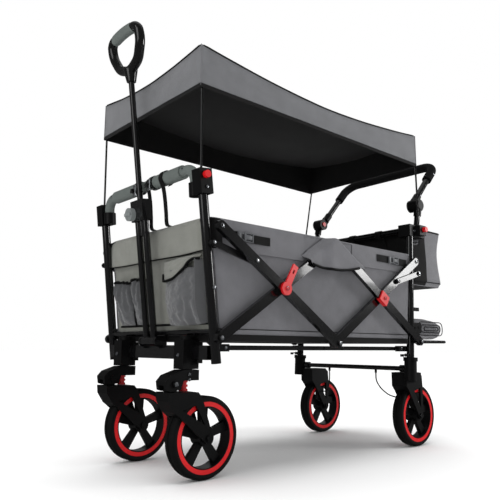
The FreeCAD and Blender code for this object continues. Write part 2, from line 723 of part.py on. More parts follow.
def make_front_corners():
    """Blocks on the post tops that hold the hand bar's legs and the canopy poles."""
    low, high = size.corner_low, size.corner_high
    base = post_point(FRONT, low)
    lean = Rotation(Z_AXIS, post_point(FRONT, high) - base)
    depth = size.corner_depth
    outer = POST_Y + size.post_radius + size.corner_lip
    inner = POST_Y - size.post_radius - 3.5
    block = box("front_corner_block", depth, outer - inner, high - low,
                base + Vector(-depth / 2, -(outer - POST_Y), 0), lean)
    gap = size.fit_gap
    post_foot, post_tip = post_point(FRONT, low - 2), post_point(FRONT, size.front_post_top + gap)
    post_room = cylinder("front_corner_post_room", "Sizes.post_radius + Sizes.fit_gap",
                         (post_tip - post_foot).Length, post_foot, post_tip - post_foot)
    leg = Vector(post_point(FRONT, size.hand_leg_low).x, -size.hand_bar_half, size.hand_leg_low)
    bend_low = Vector(size.hand_bar_x, -size.hand_bar_half, size.hand_bar_height)
    leg_room = cylinder("front_corner_leg_room", "Sizes.hand_bar_radius + Sizes.fit_gap", 200.0,
                        leg - toward(leg, bend_low) * 0.05, toward(leg, bend_low))
    socket = cylinder("front_corner_socket", "Sizes.hand_bar_radius + 4", 34.0,
                      leg - toward(leg, bend_low) * 6, toward(leg, bend_low))
    pole = front_pole_line()
    pole_room = cylinder("front_corner_pole_room", "Sizes.pole_radius + Sizes.fit_gap", 300.0,
                         pole[0] - toward(*pole) * 0.05, toward(*pole))
    recess = cylinder("front_corner_recess", "Sizes.button_radius + 0.3", 9.0,
                      button_centre(FRONT) + Vector(0, 8, 0), -Y_AXIS)
    joined = fuse("front_corner_joined", [block, socket])
    pair("front_corners", [cut("front_corner", joined, [post_room, leg_room, pole_room, recess])])


def front_pole_line():
    low = Vector(post_point(FRONT, size.corner_high).x, -size.front_pole_y, size.corner_high - 18)
    high = Vector(size.canopy_front + 7, -size.front_pole_y, size.canopy_low + 40)
    return low, high


def rear_pole_line():
    low = Vector(size.rear_pole_x, -size.rear_pole_y, size.block_high - 24)
    high = Vector(size.canopy_rear, -(size.canopy_half - 5), size.canopy_low)
    return low, high


def button_centre(end):
    """The middle of a button's recess mouth on the left side."""
    if end == FRONT:
        top = post_point(FRONT, 729)
        return Vector(top.x - 2, -(POST_Y + size.post_radius + size.corner_lip), 729)
    return Vector(size.rear_pole_x + 15, -(size.rear_pole_y + 10), size.top_bar_height)


def make_pole_button(end, side):
    word = "front" if end == FRONT else "rear"
    mouth = button_centre(end)
    item = cylinder(f"{word}_button_{side + 1}_drum", cell("button_radius"), 15.0,
                    mouth + Vector(0, 8 - size.button_travel - 0.3, 0), -Y_AXIS)
    side_node(f"{word}_pole_button", [item], side)


def make_poles():
    line = front_pole_line()
    front = cylinder("front_pole", cell("pole_radius"), (line[1] - line[0]).Length, line[0], toward(*line))
    pair("canopy_front_poles", [front])
    line = rear_pole_line()
    rear = cylinder("rear_pole", cell("pole_radius"), (line[1] - line[0]).Length, line[0], toward(*line))
    pair("canopy_rear_poles", [rear])


def make_rear_top():
    """The cross bar between the rear posts and the two uprights of the push handle."""
    end_y = size.upright_y - 12
    bar = cylinder("rear_top_bar_tube", cell("top_bar_radius"), 2 * end_y,
                   Vector(size.top_bar_x, -end_y, size.top_bar_height), Y_AXIS)
    low = Vector(size.upright_low_x, -size.upright_y, size.upright_low)
    high = Vector(size.hinge_x, -size.upright_y, size.hinge_height - size.knuckle_radius + 3)
    upright = cylinder("push_upright", cell("upright_radius"), (high - low).Length, low, toward(low, high))
    node("rear_top_frame", [bar, upright, mirrored(upright)])


def make_rear_blocks():
    """Blocks that tie the rear posts, top bar, uprights and canopy poles; lower halves of the knuckles."""
    low, high = size.block_low, size.block_high
    inner, outer = size.upright_y - 20, POST_Y + size.post_radius + 0.5
    start = size.post_x + 4
    block = box("rear_block_main", size.upright_low_x + 16 - start, outer - inner, high - low,
                Vector(start, -outer, low))
    wing = box("rear_block_wing", 36.0, size.rear_pole_y + 10 - outer + 2, 34.0,
               Vector(size.rear_pole_x - 8, -(size.rear_pole_y + 10), high - 36))
    post_room = cylinder("rear_block_post_room", "Sizes.post_radius + Sizes.fit_gap", 200.0,
                         post_point(REAR, low - 80), toward(post_point(REAR, 0), post_point(REAR, 100)))
    up = Vector(size.upright_low_x, -size.upright_y, size.upright_low)
    tip = Vector(size.hinge_x, -size.upright_y, size.hinge_height - size.knuckle_radius + 3)
    upright_room = cylinder("rear_block_upright_room", "Sizes.upright_radius + Sizes.fit_gap", 200.0,
                            up - toward(up, tip) * 0.05, toward(up, tip))
    bar_room = cylinder("rear_block_bar_room", "Sizes.top_bar_radius + Sizes.fit_gap", 200.0,
                        Vector(size.top_bar_x, -(size.upright_y - 12 + 0.05), size.top_bar_height), Y_AXIS)
    pole = rear_pole_line()
    pole_room = cylinder("rear_block_pole_room", "Sizes.pole_radius + Sizes.fit_gap", 300.0,
                         pole[0] - toward(*pole) * 0.05, toward(*pole))
    recess = cylinder("rear_block_recess", "Sizes.button_radius + 0.3", 9.0,
                      button_centre(REAR) + Vector(0, 8, 0), -Y_AXIS)
    corner = cut("rear_corner_block", fuse("rear_block_joined", [block, wing]),
                 [post_room, upright_room, bar_room, pole_room, recess])
    hinge = Vector(size.hinge_x, 0, size.hinge_height)
    inner_face = size.push_y + size.knuckle_thickness / 2 + 0.5
    drum = cylinder("knuckle_lower_drum", cell("knuckle_radius"), size.upright_y + 11 - inner_face,
                    hinge - Vector(0, inner_face, 0), -Y_AXIS)
    cover = cylinder("knuckle_cover", "Sizes.knuckle_radius - 5", 4.0,
                     hinge - Vector(0, size.upright_y + 11, 0), -Y_AXIS)
    collar = cylinder("knuckle_collar", "Sizes.upright_radius + 3", 34.0,
                      tip - toward(up, tip) * 20, toward(up, tip))
    tube_room = cylinder("knuckle_tube_room", "Sizes.upright_radius + Sizes.fit_gap", 60.0,
                         tip + toward(up, tip) * 0.05, toward(tip, up))
    knuckle = cut("knuckle_lower", fuse("knuckle_joined", [drum, cover, collar]), [tube_room])
    pair("rear_corner_blocks", [corner, knuckle])


def push_route(start_share=0.0):
    """The push handle's centre line, or the part of it beyond a share of each arm."""
    low = Vector(size.hinge_x, -size.push_y, size.hinge_height)
    high = Vector(size.push_bar_x, -size.push_y, size.push_bar_height)
    start = low + (high - low) * start_share
    return route([start, high, Vector(high.x, size.push_y, high.z), Vector(start.x, size.push_y, start.z)],
                 size.push_bend)


def make_push_handle():
    arm = Vector(size.push_bar_x - size.hinge_x, 0, size.push_bar_height - size.hinge_height)
    tube_start = size.knuckle_radius + 2
    share = tube_start / arm.Length
    handle = feature("push_handle_tube", swept_tube(push_route(share), size.push_radius, 2.0))
    node("push_handle", [handle])
    foam_route = push_route(0.62)
    foam = swept(foam_route, size.push_foam_radius).cut(swept(push_route(0.5), size.push_radius + size.fit_gap))
    node("push_grip", [feature("push_foam", foam)])
    hinge = Vector(size.hinge_x, 0, size.hinge_height)
    half = size.knuckle_thickness / 2
    drum = cylinder("knuckle_upper_drum", cell("knuckle_radius"), cell("knuckle_thickness"),
                    hinge - Vector(0, size.push_y - half, 0), -Y_AXIS)
    direction = arm.normalize()
    centre = hinge - Vector(0, size.push_y, 0)
    socket = cylinder("knuckle_upper_socket", "Sizes.push_radius + 3", 36.0,
                      centre + direction * tube_start, direction)
    turn = Rotation(X_AXIS, direction)
    neck = box("knuckle_upper_neck", tube_start + 8, cell("knuckle_thickness"), 28.0,
               centre + turn.multVec(Vector(0, -half, -14)), turn)
    tube_room = cylinder("knuckle_upper_room", "Sizes.push_radius + Sizes.fit_gap", 100.0,
                         centre + direction * (tube_start - size.fit_gap), direction)
    recess = cylinder("knuckle_recess", "Sizes.button_radius + 0.3", 6.0,
                      hinge - Vector(0, size.push_y - half - 1, 0), -Y_AXIS)
    pair("push_knuckles", [cut("knuckle_upper", fuse("knuckle_upper_joined", [drum, neck, socket]),
                               [tube_room, recess])])
    for side in (LEFT, RIGHT):
        button = cylinder(f"push_button_drum_{side + 1}", cell("button_radius"), 5.0,
                          hinge - Vector(0, size.push_y - half - 4, 0), -Y_AXIS)
        side_node("push_button", [button], side)


def make_rear_forks():
    """Socket on the post, guard over the wheel and two legs down to the axle, on each side."""
    y = -size.rear_track / 2
    hub = size.rear_axle_x
    foot = post_point(REAR, size.socket_low)
    blank = fork_blank(
        "rear_fork_blank",
        [(foot.x - 4, 240), (hub - 2, 240), (hub + 12, 228), (hub + 15, 190), (hub + 12, size.wheel_radius),
         (hub - 12, size.wheel_radius), (foot.x + 12, 178), (foot.x - 4, 196)],
        [(foot.x + 40, 180), (hub + 2, 190), (hub + 1, 124)], hub, y)
    up = toward(foot, post_point(REAR, size.socket_high))
    socket = cylinder("rear_socket", cell("socket_radius"), size.socket_high - size.socket_low, foot, up)
    collar = cylinder("rear_collar", cell("collar_radius"), cell("collar_height"),
                      post_point(REAR, size.socket_high - size.collar_height), up)
    bridge = box("rear_bridge", 60.0, POST_Y + y + 20, 25.0,
                 Vector(foot.x - 4, -POST_Y - 4, size.socket_low))
    post_room = cylinder("rear_socket_bore", "Sizes.post_radius + Sizes.fit_gap", 120.0,
                         post_point(REAR, size.rear_post_bottom - size.fit_gap), up)
    inside = cylinder("rear_fork_wheel_room", "Sizes.wheel_radius + Sizes.travel_gap", cell("fork_gap"),
                      Vector(hub, y - size.fork_gap / 2, size.wheel_radius), Y_AXIS)
    fork = cut("rear_fork", fuse("rear_fork_joined", [blank, socket, collar, bridge]), [post_room, inside])
    pair("rear_forks", [fork])


def make_release_lever(side):
    """A small lever in front of each rear socket."""
    centre = Vector(post_point(REAR, 296).x - size.post_radius - 9, -POST_Y, 297.5)
    eye = cylinder(f"release_eye_{side + 1}", 5.0, 12.0, centre + Vector(0, 6, 0), -Y_AXIS)
    blade = box(f"release_blade_{side + 1}", 24.0, 10.0, 4.0, centre + Vector(-26, -5, -1))
    tip = box(f"release_tip_{side + 1}", 4.0, 12.0, 8.0, centre + Vector(-28, -6, -5))
    hole = cylinder(f"release_hole_{side + 1}", 1.55, 20.0, centre + Vector(0, 10, 0), -Y_AXIS)
    whole = cut(f"release_lever_{side + 1}", fuse(f"release_joined_{side + 1}", [eye, blade, tip]), [hole])
    side_node("release_lever", [whole], side)


def make_rear_axle_bar():
    y_end = size.leg_bar_end
    x = post_point(REAR, size.leg_bar_height).x + 8
    centre = Vector(x, -y_end, size.leg_bar_height)
    tube = cylinder("leg_bar_tube", cell("leg_bar_radius"), 2 * y_end, centre, Y_AXIS)
    tee = cylinder("leg_bar_tee", "Sizes.leg_bar_radius + 4", 22.0, centre + Vector(0, -1, 0), -Y_AXIS)
    lug = cylinder("leg_bar_lug", 4.0, 14.0, Vector(x, -105, size.leg_bar_height - 18), Z_AXIS)
    node("rear_axle_bar", [fuse("leg_bar", [tube, tee, mirrored(tee), lug, mirrored(lug)])])


def make_brake_cables():
    """Each cable leaves the cross bar's underside and ends at the inner cheek of its wheel's fork."""
    x = post_point(REAR, size.leg_bar_height).x + 8
    top = size.leg_bar_height - 18.05
    points = [Vector(x, -105, top), Vector(x, -105, top - 26), Vector(x + 9, -117, top - 52),
              Vector(x + 24, -137, top - 73), Vector(x + 34, -159, top - 80),
              Vector(x + 34, -size.rear_track / 2 + size.fork_width / 2 + 0.1, top - 80)]
    radii = []
    for here, back, ahead in zip(points[1:-1], points, points[2:]):
        turn = math.pi - (back - here).getAngle(ahead - here)
        run = min((back - here).Length, (ahead - here).Length)
        radii.append(0.45 * run / math.tan(turn / 2))
    path = route(points, [0] + radii + [0])
    cable = swept(path, size.cable_radius)
    section = math.pi * size.cable_radius ** 2 * path.Length
    print("brake cable: length %.1f, radii %s, volume ratio %.4f"
          % (path.Length, [round(r) for r in radii], cable.Volume / section))
    pair("brake_cables", [feature("brake_cable", cable)])


def make_rear_fasteners():
    """Rear wheel axles, low pivot pins, rivets on the posts and the release levers' pins."""
    y = -size.rear_track / 2
    wheel_axle = axle("rear_axle", size.rear_axle_x, y)
    low = pivot_pin("rear_low_pin", size.post_x, size.low_pivot_height, POST_FACE, ARM_FACE + 0.3, 3.0)
    stay_post, _ = stay_place(REAR)
    stay_pin = pivot_pin("rear_stay_pin", stay_post.x, stay_post.z, POST_FACE,
                         ARM_OUTER + size.stay_thickness + 0.3, 3.0)
    hook = post_point(REAR, size.hook_height)
    hook_bar = box("rear_hook_bar", 34.0, 9.0, 12.0,
                   Vector(post_point(REAR, size.hook_height + 6).x + size.post_radius + 0.2,
                          -POST_Y - 4.5, hook.z - 6))
    lever = Vector(post_point(REAR, 296).x - size.post_radius - 9, -POST_Y, 297.5)
    lever_pin = cylinder("release_pin", 1.5, 16.0, lever + Vector(0, 8, 0), -Y_AXIS)
    pair("rear_fasteners", [wheel_axle, low, stay_pin, hook_bar, lever_pin])


# ---------------------------------------------------------------- scissor fold

def flat_bar(name, length, thickness, holes, width):
    """A flat bar with round ends and a hole at each distance along it."""
    body = doc.addObject("PartDesign::Body", name)
    outline = new_sketch(body, name + "_outline", "XZ_Plane")
    radius = add_slot(outline, length, width / 2)
    if width == size.arm_width:
        tie(outline, radius, "Sizes.arm_width / 2")
    for distance, hole in holes:
        add_circle(outline, hole, distance)
    pad(body, name + "_pad", outline, thickness)
    return body


def lay(body, start, end, inner, thickness):
    """Put a flat bar's middle plane on the left side, from its first hole towards another."""
    direction = toward(start, end)
    middle = -(inner + thickness / 2)
    body.Placement = Placement(Vector(start.x, middle, start.z), Rotation(X_AXIS, direction))


def front_of(point):
    return Vector(-point.x, point.y, point.z)


PIN_HOLE = "Sizes.pivot_radius + Sizes.fit_gap"


def make_arms():
    """The long arms carry the crossing pins and the rear ones the middle top pins as well."""
    thick = size.arm_thickness
    for end, word in ((REAR, "rear"), (FRONT, "front")):
        place = (lambda point: point) if end == REAR else front_of
        long_inner = ARM_OUTER if end == REAR else size.arm_inner
        short_inner = size.arm_inner if end == REAR else ARM_OUTER
        long = flat_bar(f"{word}_long_bar", LONG_ARM, cell("arm_thickness"),
                        [(0, PIN_HOLE), (LOW_TO_CROSSING, PIN_HOLE), (LONG_ARM, PIN_HOLE)], size.arm_width)
        lay(long, place(LOW), place(TOP), long_inner, thick)
        cross_pin = pivot_pin(f"{word}_cross_pin", end * CROSSING.x, CROSSING.z, size.arm_inner - 1,
                              ARM_FACE + 0.2, 0.1)
        solids = [long, cross_pin]
        if end == REAR:
            solids.append(pivot_pin("mid_top_pin", 0, TOP.z, size.arm_inner - 1, ARM_FACE + 0.3, 2.0))
        pair(f"{word}_long_arms", solids)
        short = flat_bar(f"{word}_short_bar", MID_TO_CROSSING + CROSSING_TO_END, cell("arm_thickness"),
                         [(0, PIN_HOLE), (MID_TO_CROSSING, PIN_HOLE)], size.arm_width)
        lay(short, place(MID), place(CROSSING), short_inner, thick)
        end_rivet = rivet(f"{word}_arm_end_rivet",
                          Vector(end * ARM_END.x, -(short_inner + thick), ARM_END.z), -Y_AXIS)
        solids = [short, end_rivet]
        if end == REAR:
            pin = pivot_pin("mid_low_pin", 0, MID.z, size.arm_inner - 1, ARM_FACE + 0.3, 3.0)
            solids.append(pin)
        pair(f"{word}_short_arms", solids)


def make_saddles():
    """Red caps over the rear crossings: a channel on the outer arm with two turned-in lips."""
    long, wide, wall = size.saddle_length, size.arm_width + 2 * size.saddle_wall, size.saddle_wall
    direction = toward(LOW, TOP)
    turn = Rotation(X_AXIS, direction)
    centre = Vector(CROSSING.x, -(ARM_FACE + 0.4), CROSSING.z)

    def plate(name, x, depth, z, along, high):
        corner = centre + turn.multVec(Vector(x, 0, z)) + Vector(0, -depth[0], 0)
        return box(name, along, depth[1], high, corner, turn)

    face = plate("saddle_face", -long / 2, (5.0, 5.0), -wide / 2, long, wide)
    lips = [plate(f"saddle_lip_{number}", -long / 2, (1.0, 10.0), z, long, wall - 0.4)
            for number, z in enumerate((-wide / 2, wide / 2 - wall + 0.4))]
    screw = rivet("saddle_screw", Vector(CROSSING.x, centre.y - 5.1, CROSSING.z), -Y_AXIS)
    pair("rear_saddles", [fuse("saddle", [face] + lips), screw])


def make_latches():
    """The red fold latch on each front crossing: a round hub with a strap and a finger slot."""
    centre = Vector(-CROSSING.x, -(ARM_FACE + 0.5), CROSSING.z)
    hub = cylinder("latch_hub", "Sizes.arm_width / 2 + 5", 7.0, centre, -Y_AXIS)
    turn = Rotation(X_AXIS, Vector(0.5, 0, 0.87))
    strap = box("latch_strap", cell("latch_length"), cell("latch_thickness"), cell("latch_width"),
                centre + turn.multVec(Vector(0, 0, -size.latch_width / 2)) + Vector(0, -size.latch_thickness, 0),
                turn)
    slot = box("latch_slot", 12.0, 40.0, 6.0,
               centre + turn.multVec(Vector(size.latch_length - 26, 0, -3)) + Vector(0, -20, 0), turn)
    screw = rivet("latch_screw", centre + Vector(0, -7.1, 0), -Y_AXIS)
    pair("fold_latches", [cut("latch", fuse("latch_joined", [hub, strap]), [slot]), screw])


def make_stays():
    for end, word in ((REAR, "rear"), (FRONT, "front")):
        post_pivot, arm_pivot = stay_place(end)
        if end == FRONT:
            post_pivot, arm_pivot = front_of(post_pivot), front_of(arm_pivot)
        inner = ARM_OUTER if end == REAR else ARM_OUTER - size.skin_gap - size.stay_thickness
        stay = flat_bar(f"{word}_stay", (arm_pivot - post_pivot).Length, cell("stay_thickness"),
                        [(0, PIN_HOLE)], size.stay_width)
        lay(stay, post_pivot, arm_pivot, inner, size.stay_thickness)
        solids = [stay]
        if end == REAR:
            solids.append(rivet("rear_stay_rivet",
                                Vector(arm_pivot.x, -(inner + size.stay_thickness), arm_pivot.z), -Y_AXIS))
        pair(f"{word}_stays", solids)


def make_rails():
    for end, word in ((REAR, "rear"), (FRONT, "front")):
        inner = size.front_rail_inner if end == FRONT else size.rear_rail_inner
        start = Vector(end * size.rail_pivot_x, 0, size.rail_pivot_height)
        rail = flat_bar(f"{word}_rail", size.rail_pivot_x, cell("rail_thickness"),
                        [(0, "Sizes.rail_pin + Sizes.fit_gap")], size.rail_height)
        lay(rail, start, Vector(0, 0, size.rail_pivot_height), inner, size.rail_thickness)
        solids = [rail]
        if end == FRONT:
            solids.append(rivet("rail_middle_rivet", Vector(0, -(inner + size.rail_thickness),
                                                            size.rail_pivot_height), -Y_AXIS))
        pair(f"{word}_rails", solids)


# ---------------------------------------------------------------- pull handle

PULL_AXIS = Vector(-math.sin(math.atan(size.pull_lean)), 0, math.cos(math.atan(size.pull_lean)))
PULL_PIVOT = Vector(size.pull_x, 0, size.pull_height)
PULL_TURN = Rotation(Z_AXIS, PULL_AXIS)


def pull_point(height, forward=0.0, across=0.0):
    """A point at a height on the pull handle's line, with offsets square to it."""
    along = (height - size.pull_height) / PULL_AXIS.z
    return PULL_PIVOT + PULL_AXIS * along + PULL_TURN.multVec(Vector(-forward, across, 0))


def make_pull_handle_lower():
    barrel = cylinder("pull_barrel", cell("barrel_radius"), "Sizes.barrel_half * 2",
                      PULL_PIVOT - Vector(0, size.barrel_half, 0), Y_AXIS)
    bore = cylinder("pull_barrel_bore", PIN_HOLE, 200.0, PULL_PIVOT - Vector(0, 100, 0), Y_AXIS)
    spacing = size.lower_tube_half_spacing
    top = size.clamp_low + 10
    tubes = [cylinder(f"pull_tube_{side + 1}", cell("lower_tube_radius"), (top - size.pull_height) / PULL_AXIS.z,
                      pull_point(size.pull_height, 0, side * spacing), PULL_AXIS) for side in (LEFT, RIGHT)]
    clamp_tall = size.clamp_high - size.clamp_low
    half_x, half_y = 14.0, spacing + size.lower_tube_radius + 3
    clamp = box("pull_clamp", 2 * half_x, 2 * half_y, clamp_tall,
                pull_point(size.clamp_low, half_x, -half_y), PULL_TURN)
    room = cylinder("pull_inner_room", "Sizes.inner_radius + Sizes.fit_gap", 400.0,
                    pull_point(size.clamp_low - 20), PULL_AXIS)
    knob_room = cylinder("knob_stem_room", "Sizes.pivot_radius + Sizes.fit_gap", 9.0,
                         pull_point(knob_height(), half_x - 8.5, knob_across()), PULL_TURN.multVec(-X_AXIS))
    node("pull_lower_tubes", [cut("pull_lower", fuse("pull_joined", [barrel, clamp] + tubes),
                                  [bore, room, knob_room])])


def knob_height():
    return (size.clamp_low + size.clamp_high) / 2 - 8


def knob_across():
    return size.lower_tube_half_spacing + 2


def make_pull_knob():
    outward = PULL_TURN.multVec(-X_AXIS)
    stem = cylinder("knob_stem", cell("pivot_radius"), 9.0, pull_point(knob_height(), 14 - 8, knob_across()), outward)
    drum = cylinder("knob_drum", cell("knob_radius"), cell("knob_thickness"),
                    pull_point(knob_height(), 15, knob_across()), outward)
    ridge = box("knob_ridge", 5.0, 2 * size.knob_radius - 6, 8.0,
                pull_point(knob_height() - 4, 15 + size.knob_thickness + 4, knob_across() - size.knob_radius + 3),
                PULL_TURN)
    node("pull_knob", [fuse("knob_whole", [stem, drum, ridge])])


def make_pull_handle_upper():
    low, neck = pull_point(size.inner_low), pull_point(size.neck_height)
    tube = cylinder("inner_tube_outside", cell("inner_radius"), (neck - low).Length, low, PULL_AXIS)
    hollow = cylinder("inner_tube_bore", "Sizes.inner_radius - 1.5", (neck - low).Length, low, PULL_AXIS)
    node("pull_inner_tube", [cut("inner_tube", tube, [hollow])])
    half, tall = size.grip_half_width, size.grip_height
    base = pull_point(size.neck_height + 14)

    def spot(across, up):
        return base + PULL_AXIS * up + PULL_TURN.multVec(Vector(-0.10 * up, across, 0))

    ring = route([spot(0, 8), spot(half * 0.62, 26), spot(half, 78), spot(half * 0.86, tall), spot(0, tall + 4),
                  spot(-half * 0.86, tall), spot(-half, 78), spot(-half * 0.62, 26)],
                 [60, 42, 60, 24, 300, 24, 60, 42], closed=True)
    grip = swept(ring, size.grip_radius)
    neck_cone = Part.makeCone(size.inner_radius + 5, 20, size.neck_length, neck - PULL_AXIS * 8, PULL_AXIS)
    socket = Part.makeCylinder(size.inner_radius + size.fit_gap, 8 + size.fit_gap, neck - PULL_AXIS * 8, PULL_AXIS)
    node("pull_grip", [feature("d_grip", grip.fuse(neck_cone).cut(socket))])


# ---------------------------------------------------------------- cloth pieces as plain closed solids

def polygon_face(points):
    return Part.Face(Part.makePolygon(points + [points[0]]))


def tent(front, rear, half, low, corner, long_mid, short_mid, middle):
    """A closed box whose top sags between its four corners."""
    across = (-half, 0, half)
    along = (front, (front + rear) / 2, rear)
    heights = ((corner, short_mid, corner), (long_mid, middle, long_mid), (corner, short_mid, corner))
    top = [[Vector(x, y, heights[i][j]) for j, y in enumerate(across)] for i, x in enumerate(along)]
    faces = []
    for i in (0, 1):
        for j in (0, 1):
            a, b, c, d = top[i][j], top[i + 1][j], top[i + 1][j + 1], top[i][j + 1]
            outer, inner = (a, c) if (i + j) % 2 == 0 else (b, d)
            rest = [p for p in (a, b, c, d) if p not in (outer, inner)]
            faces += [polygon_face([outer, rest[0], inner]), polygon_face([outer, inner, rest[1]])]

    def foot(point):
        return Vector(point.x, point.y, low)

    sides = [[top[0][0], top[1][0], top[2][0]], [top[0][2], top[1][2], top[2][2]],
             [top[0][0], top[0][1], top[0][2]], [top[2][0], top[2][1], top[2][2]]]
    for side in sides:
        faces.append(polygon_face(side + [foot(side[2]), foot(side[0])]))
    faces.append(polygon_face([foot(top[0][0]), foot(top[2][0]), foot(top[2][2]), foot(top[0][2])]))
    return Part.makeSolid(Part.makeShell(faces))


def make_canopy():
    cloth = size.canopy_cloth
    outer = tent(size.canopy_front, size.canopy_rear, size.canopy_half, size.canopy_low, size.canopy_corner,
                 size.canopy_long_mid, size.canopy_short_mid, size.canopy_middle)
    inner = tent(size.canopy_front + cloth, size.canopy_rear - cloth, size.canopy_half - cloth,
                 size.canopy_low - 1, size.canopy_corner - cloth, size.canopy_long_mid - cloth,
                 size.canopy_short_mid - cloth, size.canopy_middle - cloth)
    shell = outer.cut(inner)
    for line in (front_pole_line(), rear_pole_line()):
        for side in (LEFT, RIGHT):
            low, high = (Vector(p.x, side * abs(p.y), p.z) for p in line)
            shell = shell.cut(Part.makeCylinder(size.pole_radius + 0.3, 400, low, toward(low, high)))
    node("canopy", [feature("canopy_cloth_shell", shell)])


def tub_outline(end, half, height, corner):
    """Eight points: straight long sides, slanted corners that pass inside the posts, straight ends."""
    turn = size.post_x - size.post_radius
    quarter = [(end, half - corner - 4), (turn - 12, half - corner), (turn - 26, half)]
    back = quarter + [(-x, y) for x, y in reversed(quarter)]
    return [Vector(x, y, height) for x, y in back + [(x, -y) for x, y in reversed(back)]]


def make_tub():
    cloth = size.tub_cloth
    corner = 26.0

    def block(inset, low, high):
        return Part.makeLoft([
            Part.makePolygon(close(tub_outline(end - inset, size.tub_half - inset, height, corner)))
            for end, height in ((size.tub_end_low, low), (size.tub_end_top, high))], True, True)

    outer = block(0, size.tub_low, size.tub_top)
    inner = block(cloth, size.tub_low + cloth, size.tub_top + 1)
    shell = outer.cut(inner)
    pockets = [(-215, -58, 375, 520), (42, 118, 378, 512), (122, 200, 378, 512)]
    for start, end, low, high in pockets:
        share = (low - size.tub_low) / (size.tub_top - size.tub_low)
        wall = size.tub_end_low + (size.tub_end_top - size.tub_end_low) * share
        bag = Part.makeBox(size.pocket_depth + 12, end - start, high - low,
                           Vector(-wall - size.pocket_depth + 8, start, low))
        shell = shell.fuse(bag.makeFillet(10, bag.Edges))
    shell = shell.cut(inner)
    node("tub", [feature("tub_shell", shell)])


def close(points):
    return points + [points[0]]


def rounded_box(low, high, radius):
    solid = Part.makeBox(high.x - low.x, high.y - low.y, high.z - low.z, low)
    return solid.makeFillet(radius, solid.Edges)


def make_rear_bag():
    """The open storage bag behind the rear bar, notched beside the push handle's blocks."""
    half, wall = size.bag_half, size.bag_wall
    solid = rounded_box(Vector(size.bag_front, -half, size.bag_low), Vector(size.bag_rear, half, size.bag_top), 12)
    notch_width = half - size.upright_y + 29
    for start in (-half - 5, size.upright_y - 24):
        notch = Part.makeBox(54, notch_width, 100, Vector(size.bag_front - 1, start, size.block_low - 6))
        solid = solid.cut(notch)
    room_half = size.upright_y - 24 - wall
    room = Part.makeBox(size.bag_rear - size.bag_front - 2 * wall, 2 * room_half, size.bag_top - size.bag_low,
                        Vector(size.bag_front + wall, -room_half, size.bag_low + wall))
    node("rear_bag", [feature("rear_bag_solid", solid.cut(room))])


def make_footwell():
    """The rolled footwell and the bow under it, which ends in two hinge blocks on the posts."""
    roll = rounded_box(Vector(size.roll_front, -size.roll_half, size.roll_low),
                       Vector(size.roll_rear, size.roll_half, size.roll_high), 22)
    node("footwell", [feature("footwell_roll", roll)])
    block_low, block_tall = 370.0, 34.0
    face = post_point(REAR, block_low + block_tall).x + size.post_radius + 0.2
    half = POST_Y - 6
    block = box("footwell_hinge_block", 52.0, 14.0, block_tall, Vector(face, -half - 7, block_low))
    web = box("footwell_web", 12.0, 10.0, 48.0, Vector(face + 30, -half - 5, size.u_bar_height - 8))
    points = [Vector(face + 36, -half, size.u_bar_height), Vector(size.roll_rear - 20, -half, size.u_bar_height),
              Vector(size.roll_rear - 20, half, size.u_bar_height), Vector(face + 36, half, size.u_bar_height)]
    bow = swept(route(points, 30), size.u_bar_radius)
    bow_item = feature("footwell_bow", bow)
    screws = [rivet(f"footwell_screw_{number}", Vector(face + 14 + 22 * number, -half - 7.1, 388), -Y_AXIS)
              for number in (0, 1)]
    frame = fuse("footwell_frame_solid", [bow_item, block, web, mirrored(block), mirrored(web)])
    node("footwell_frame", [frame] + screws + [mirrored(screw) for screw in screws])


# ---------------------------------------------------------------- the whole wagon

def build():
    make_wheels()
    make_casters()
    pair("caster_housings", [caster_housing()])
    make_posts()
    make_front_cross_members()
    make_front_fasteners()
    make_hand_bar()
    make_front_corners()
    make_poles()
    make_rear_top()
    make_rear_blocks()
    make_push_handle()
    make_rear_forks()
    make_rear_axle_bar()
    make_brake_cables()
    make_rear_fasteners()
    for side in (LEFT, RIGHT):
        make_pole_button(FRONT, side)
        make_pole_button(REAR, side)
        make_release_lever(side)
    make_arms()
    make_saddles()
    make_latches()
    make_stays()
    make_rails()
    make_pull_handle_lower()
    make_pull_knob()
    make_pull_handle_upper()
    make_canopy()
    make_tub()
    make_rear_bag()
    make_footwell()


def check():
    """Every object made, every sub-part whole."""
    failed = [item.Label for item in doc.Objects if {"Invalid", "Error"} & set(item.State)]
    for part in parts:
        if part.Shape.isNull() or not part.Shape.isValid() or not part.Shape.Solids:
            failed.append(part.Label)
    if failed:
        raise RuntimeError("failed: " + ", ".join(failed))


build()
doc.recompute()
check()
os.makedirs("parts", exist_ok=True)
for part in parts:
    part.Shape.exportStep(os.path.join("parts", part.Label + ".step"))
print(len(parts), "nodes written")
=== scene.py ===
# %% [markdown]
# # Folding wagon with a pull handle
# A cloth tub hangs in a folding steel frame. The steel, plastic and rubber parts
# come in as solids, and this lesson gives them their finishes. The cloth is made
# here: tub, pockets, canopy, rear bag, straps and buckles. Lengths are in metres,
# the ground is z = 0, the front of the wagon looks along -x and its left side is -y.

# %% Load the fixed frame
import json
import math

import bpy
from mathutils import Matrix, Vector, noise

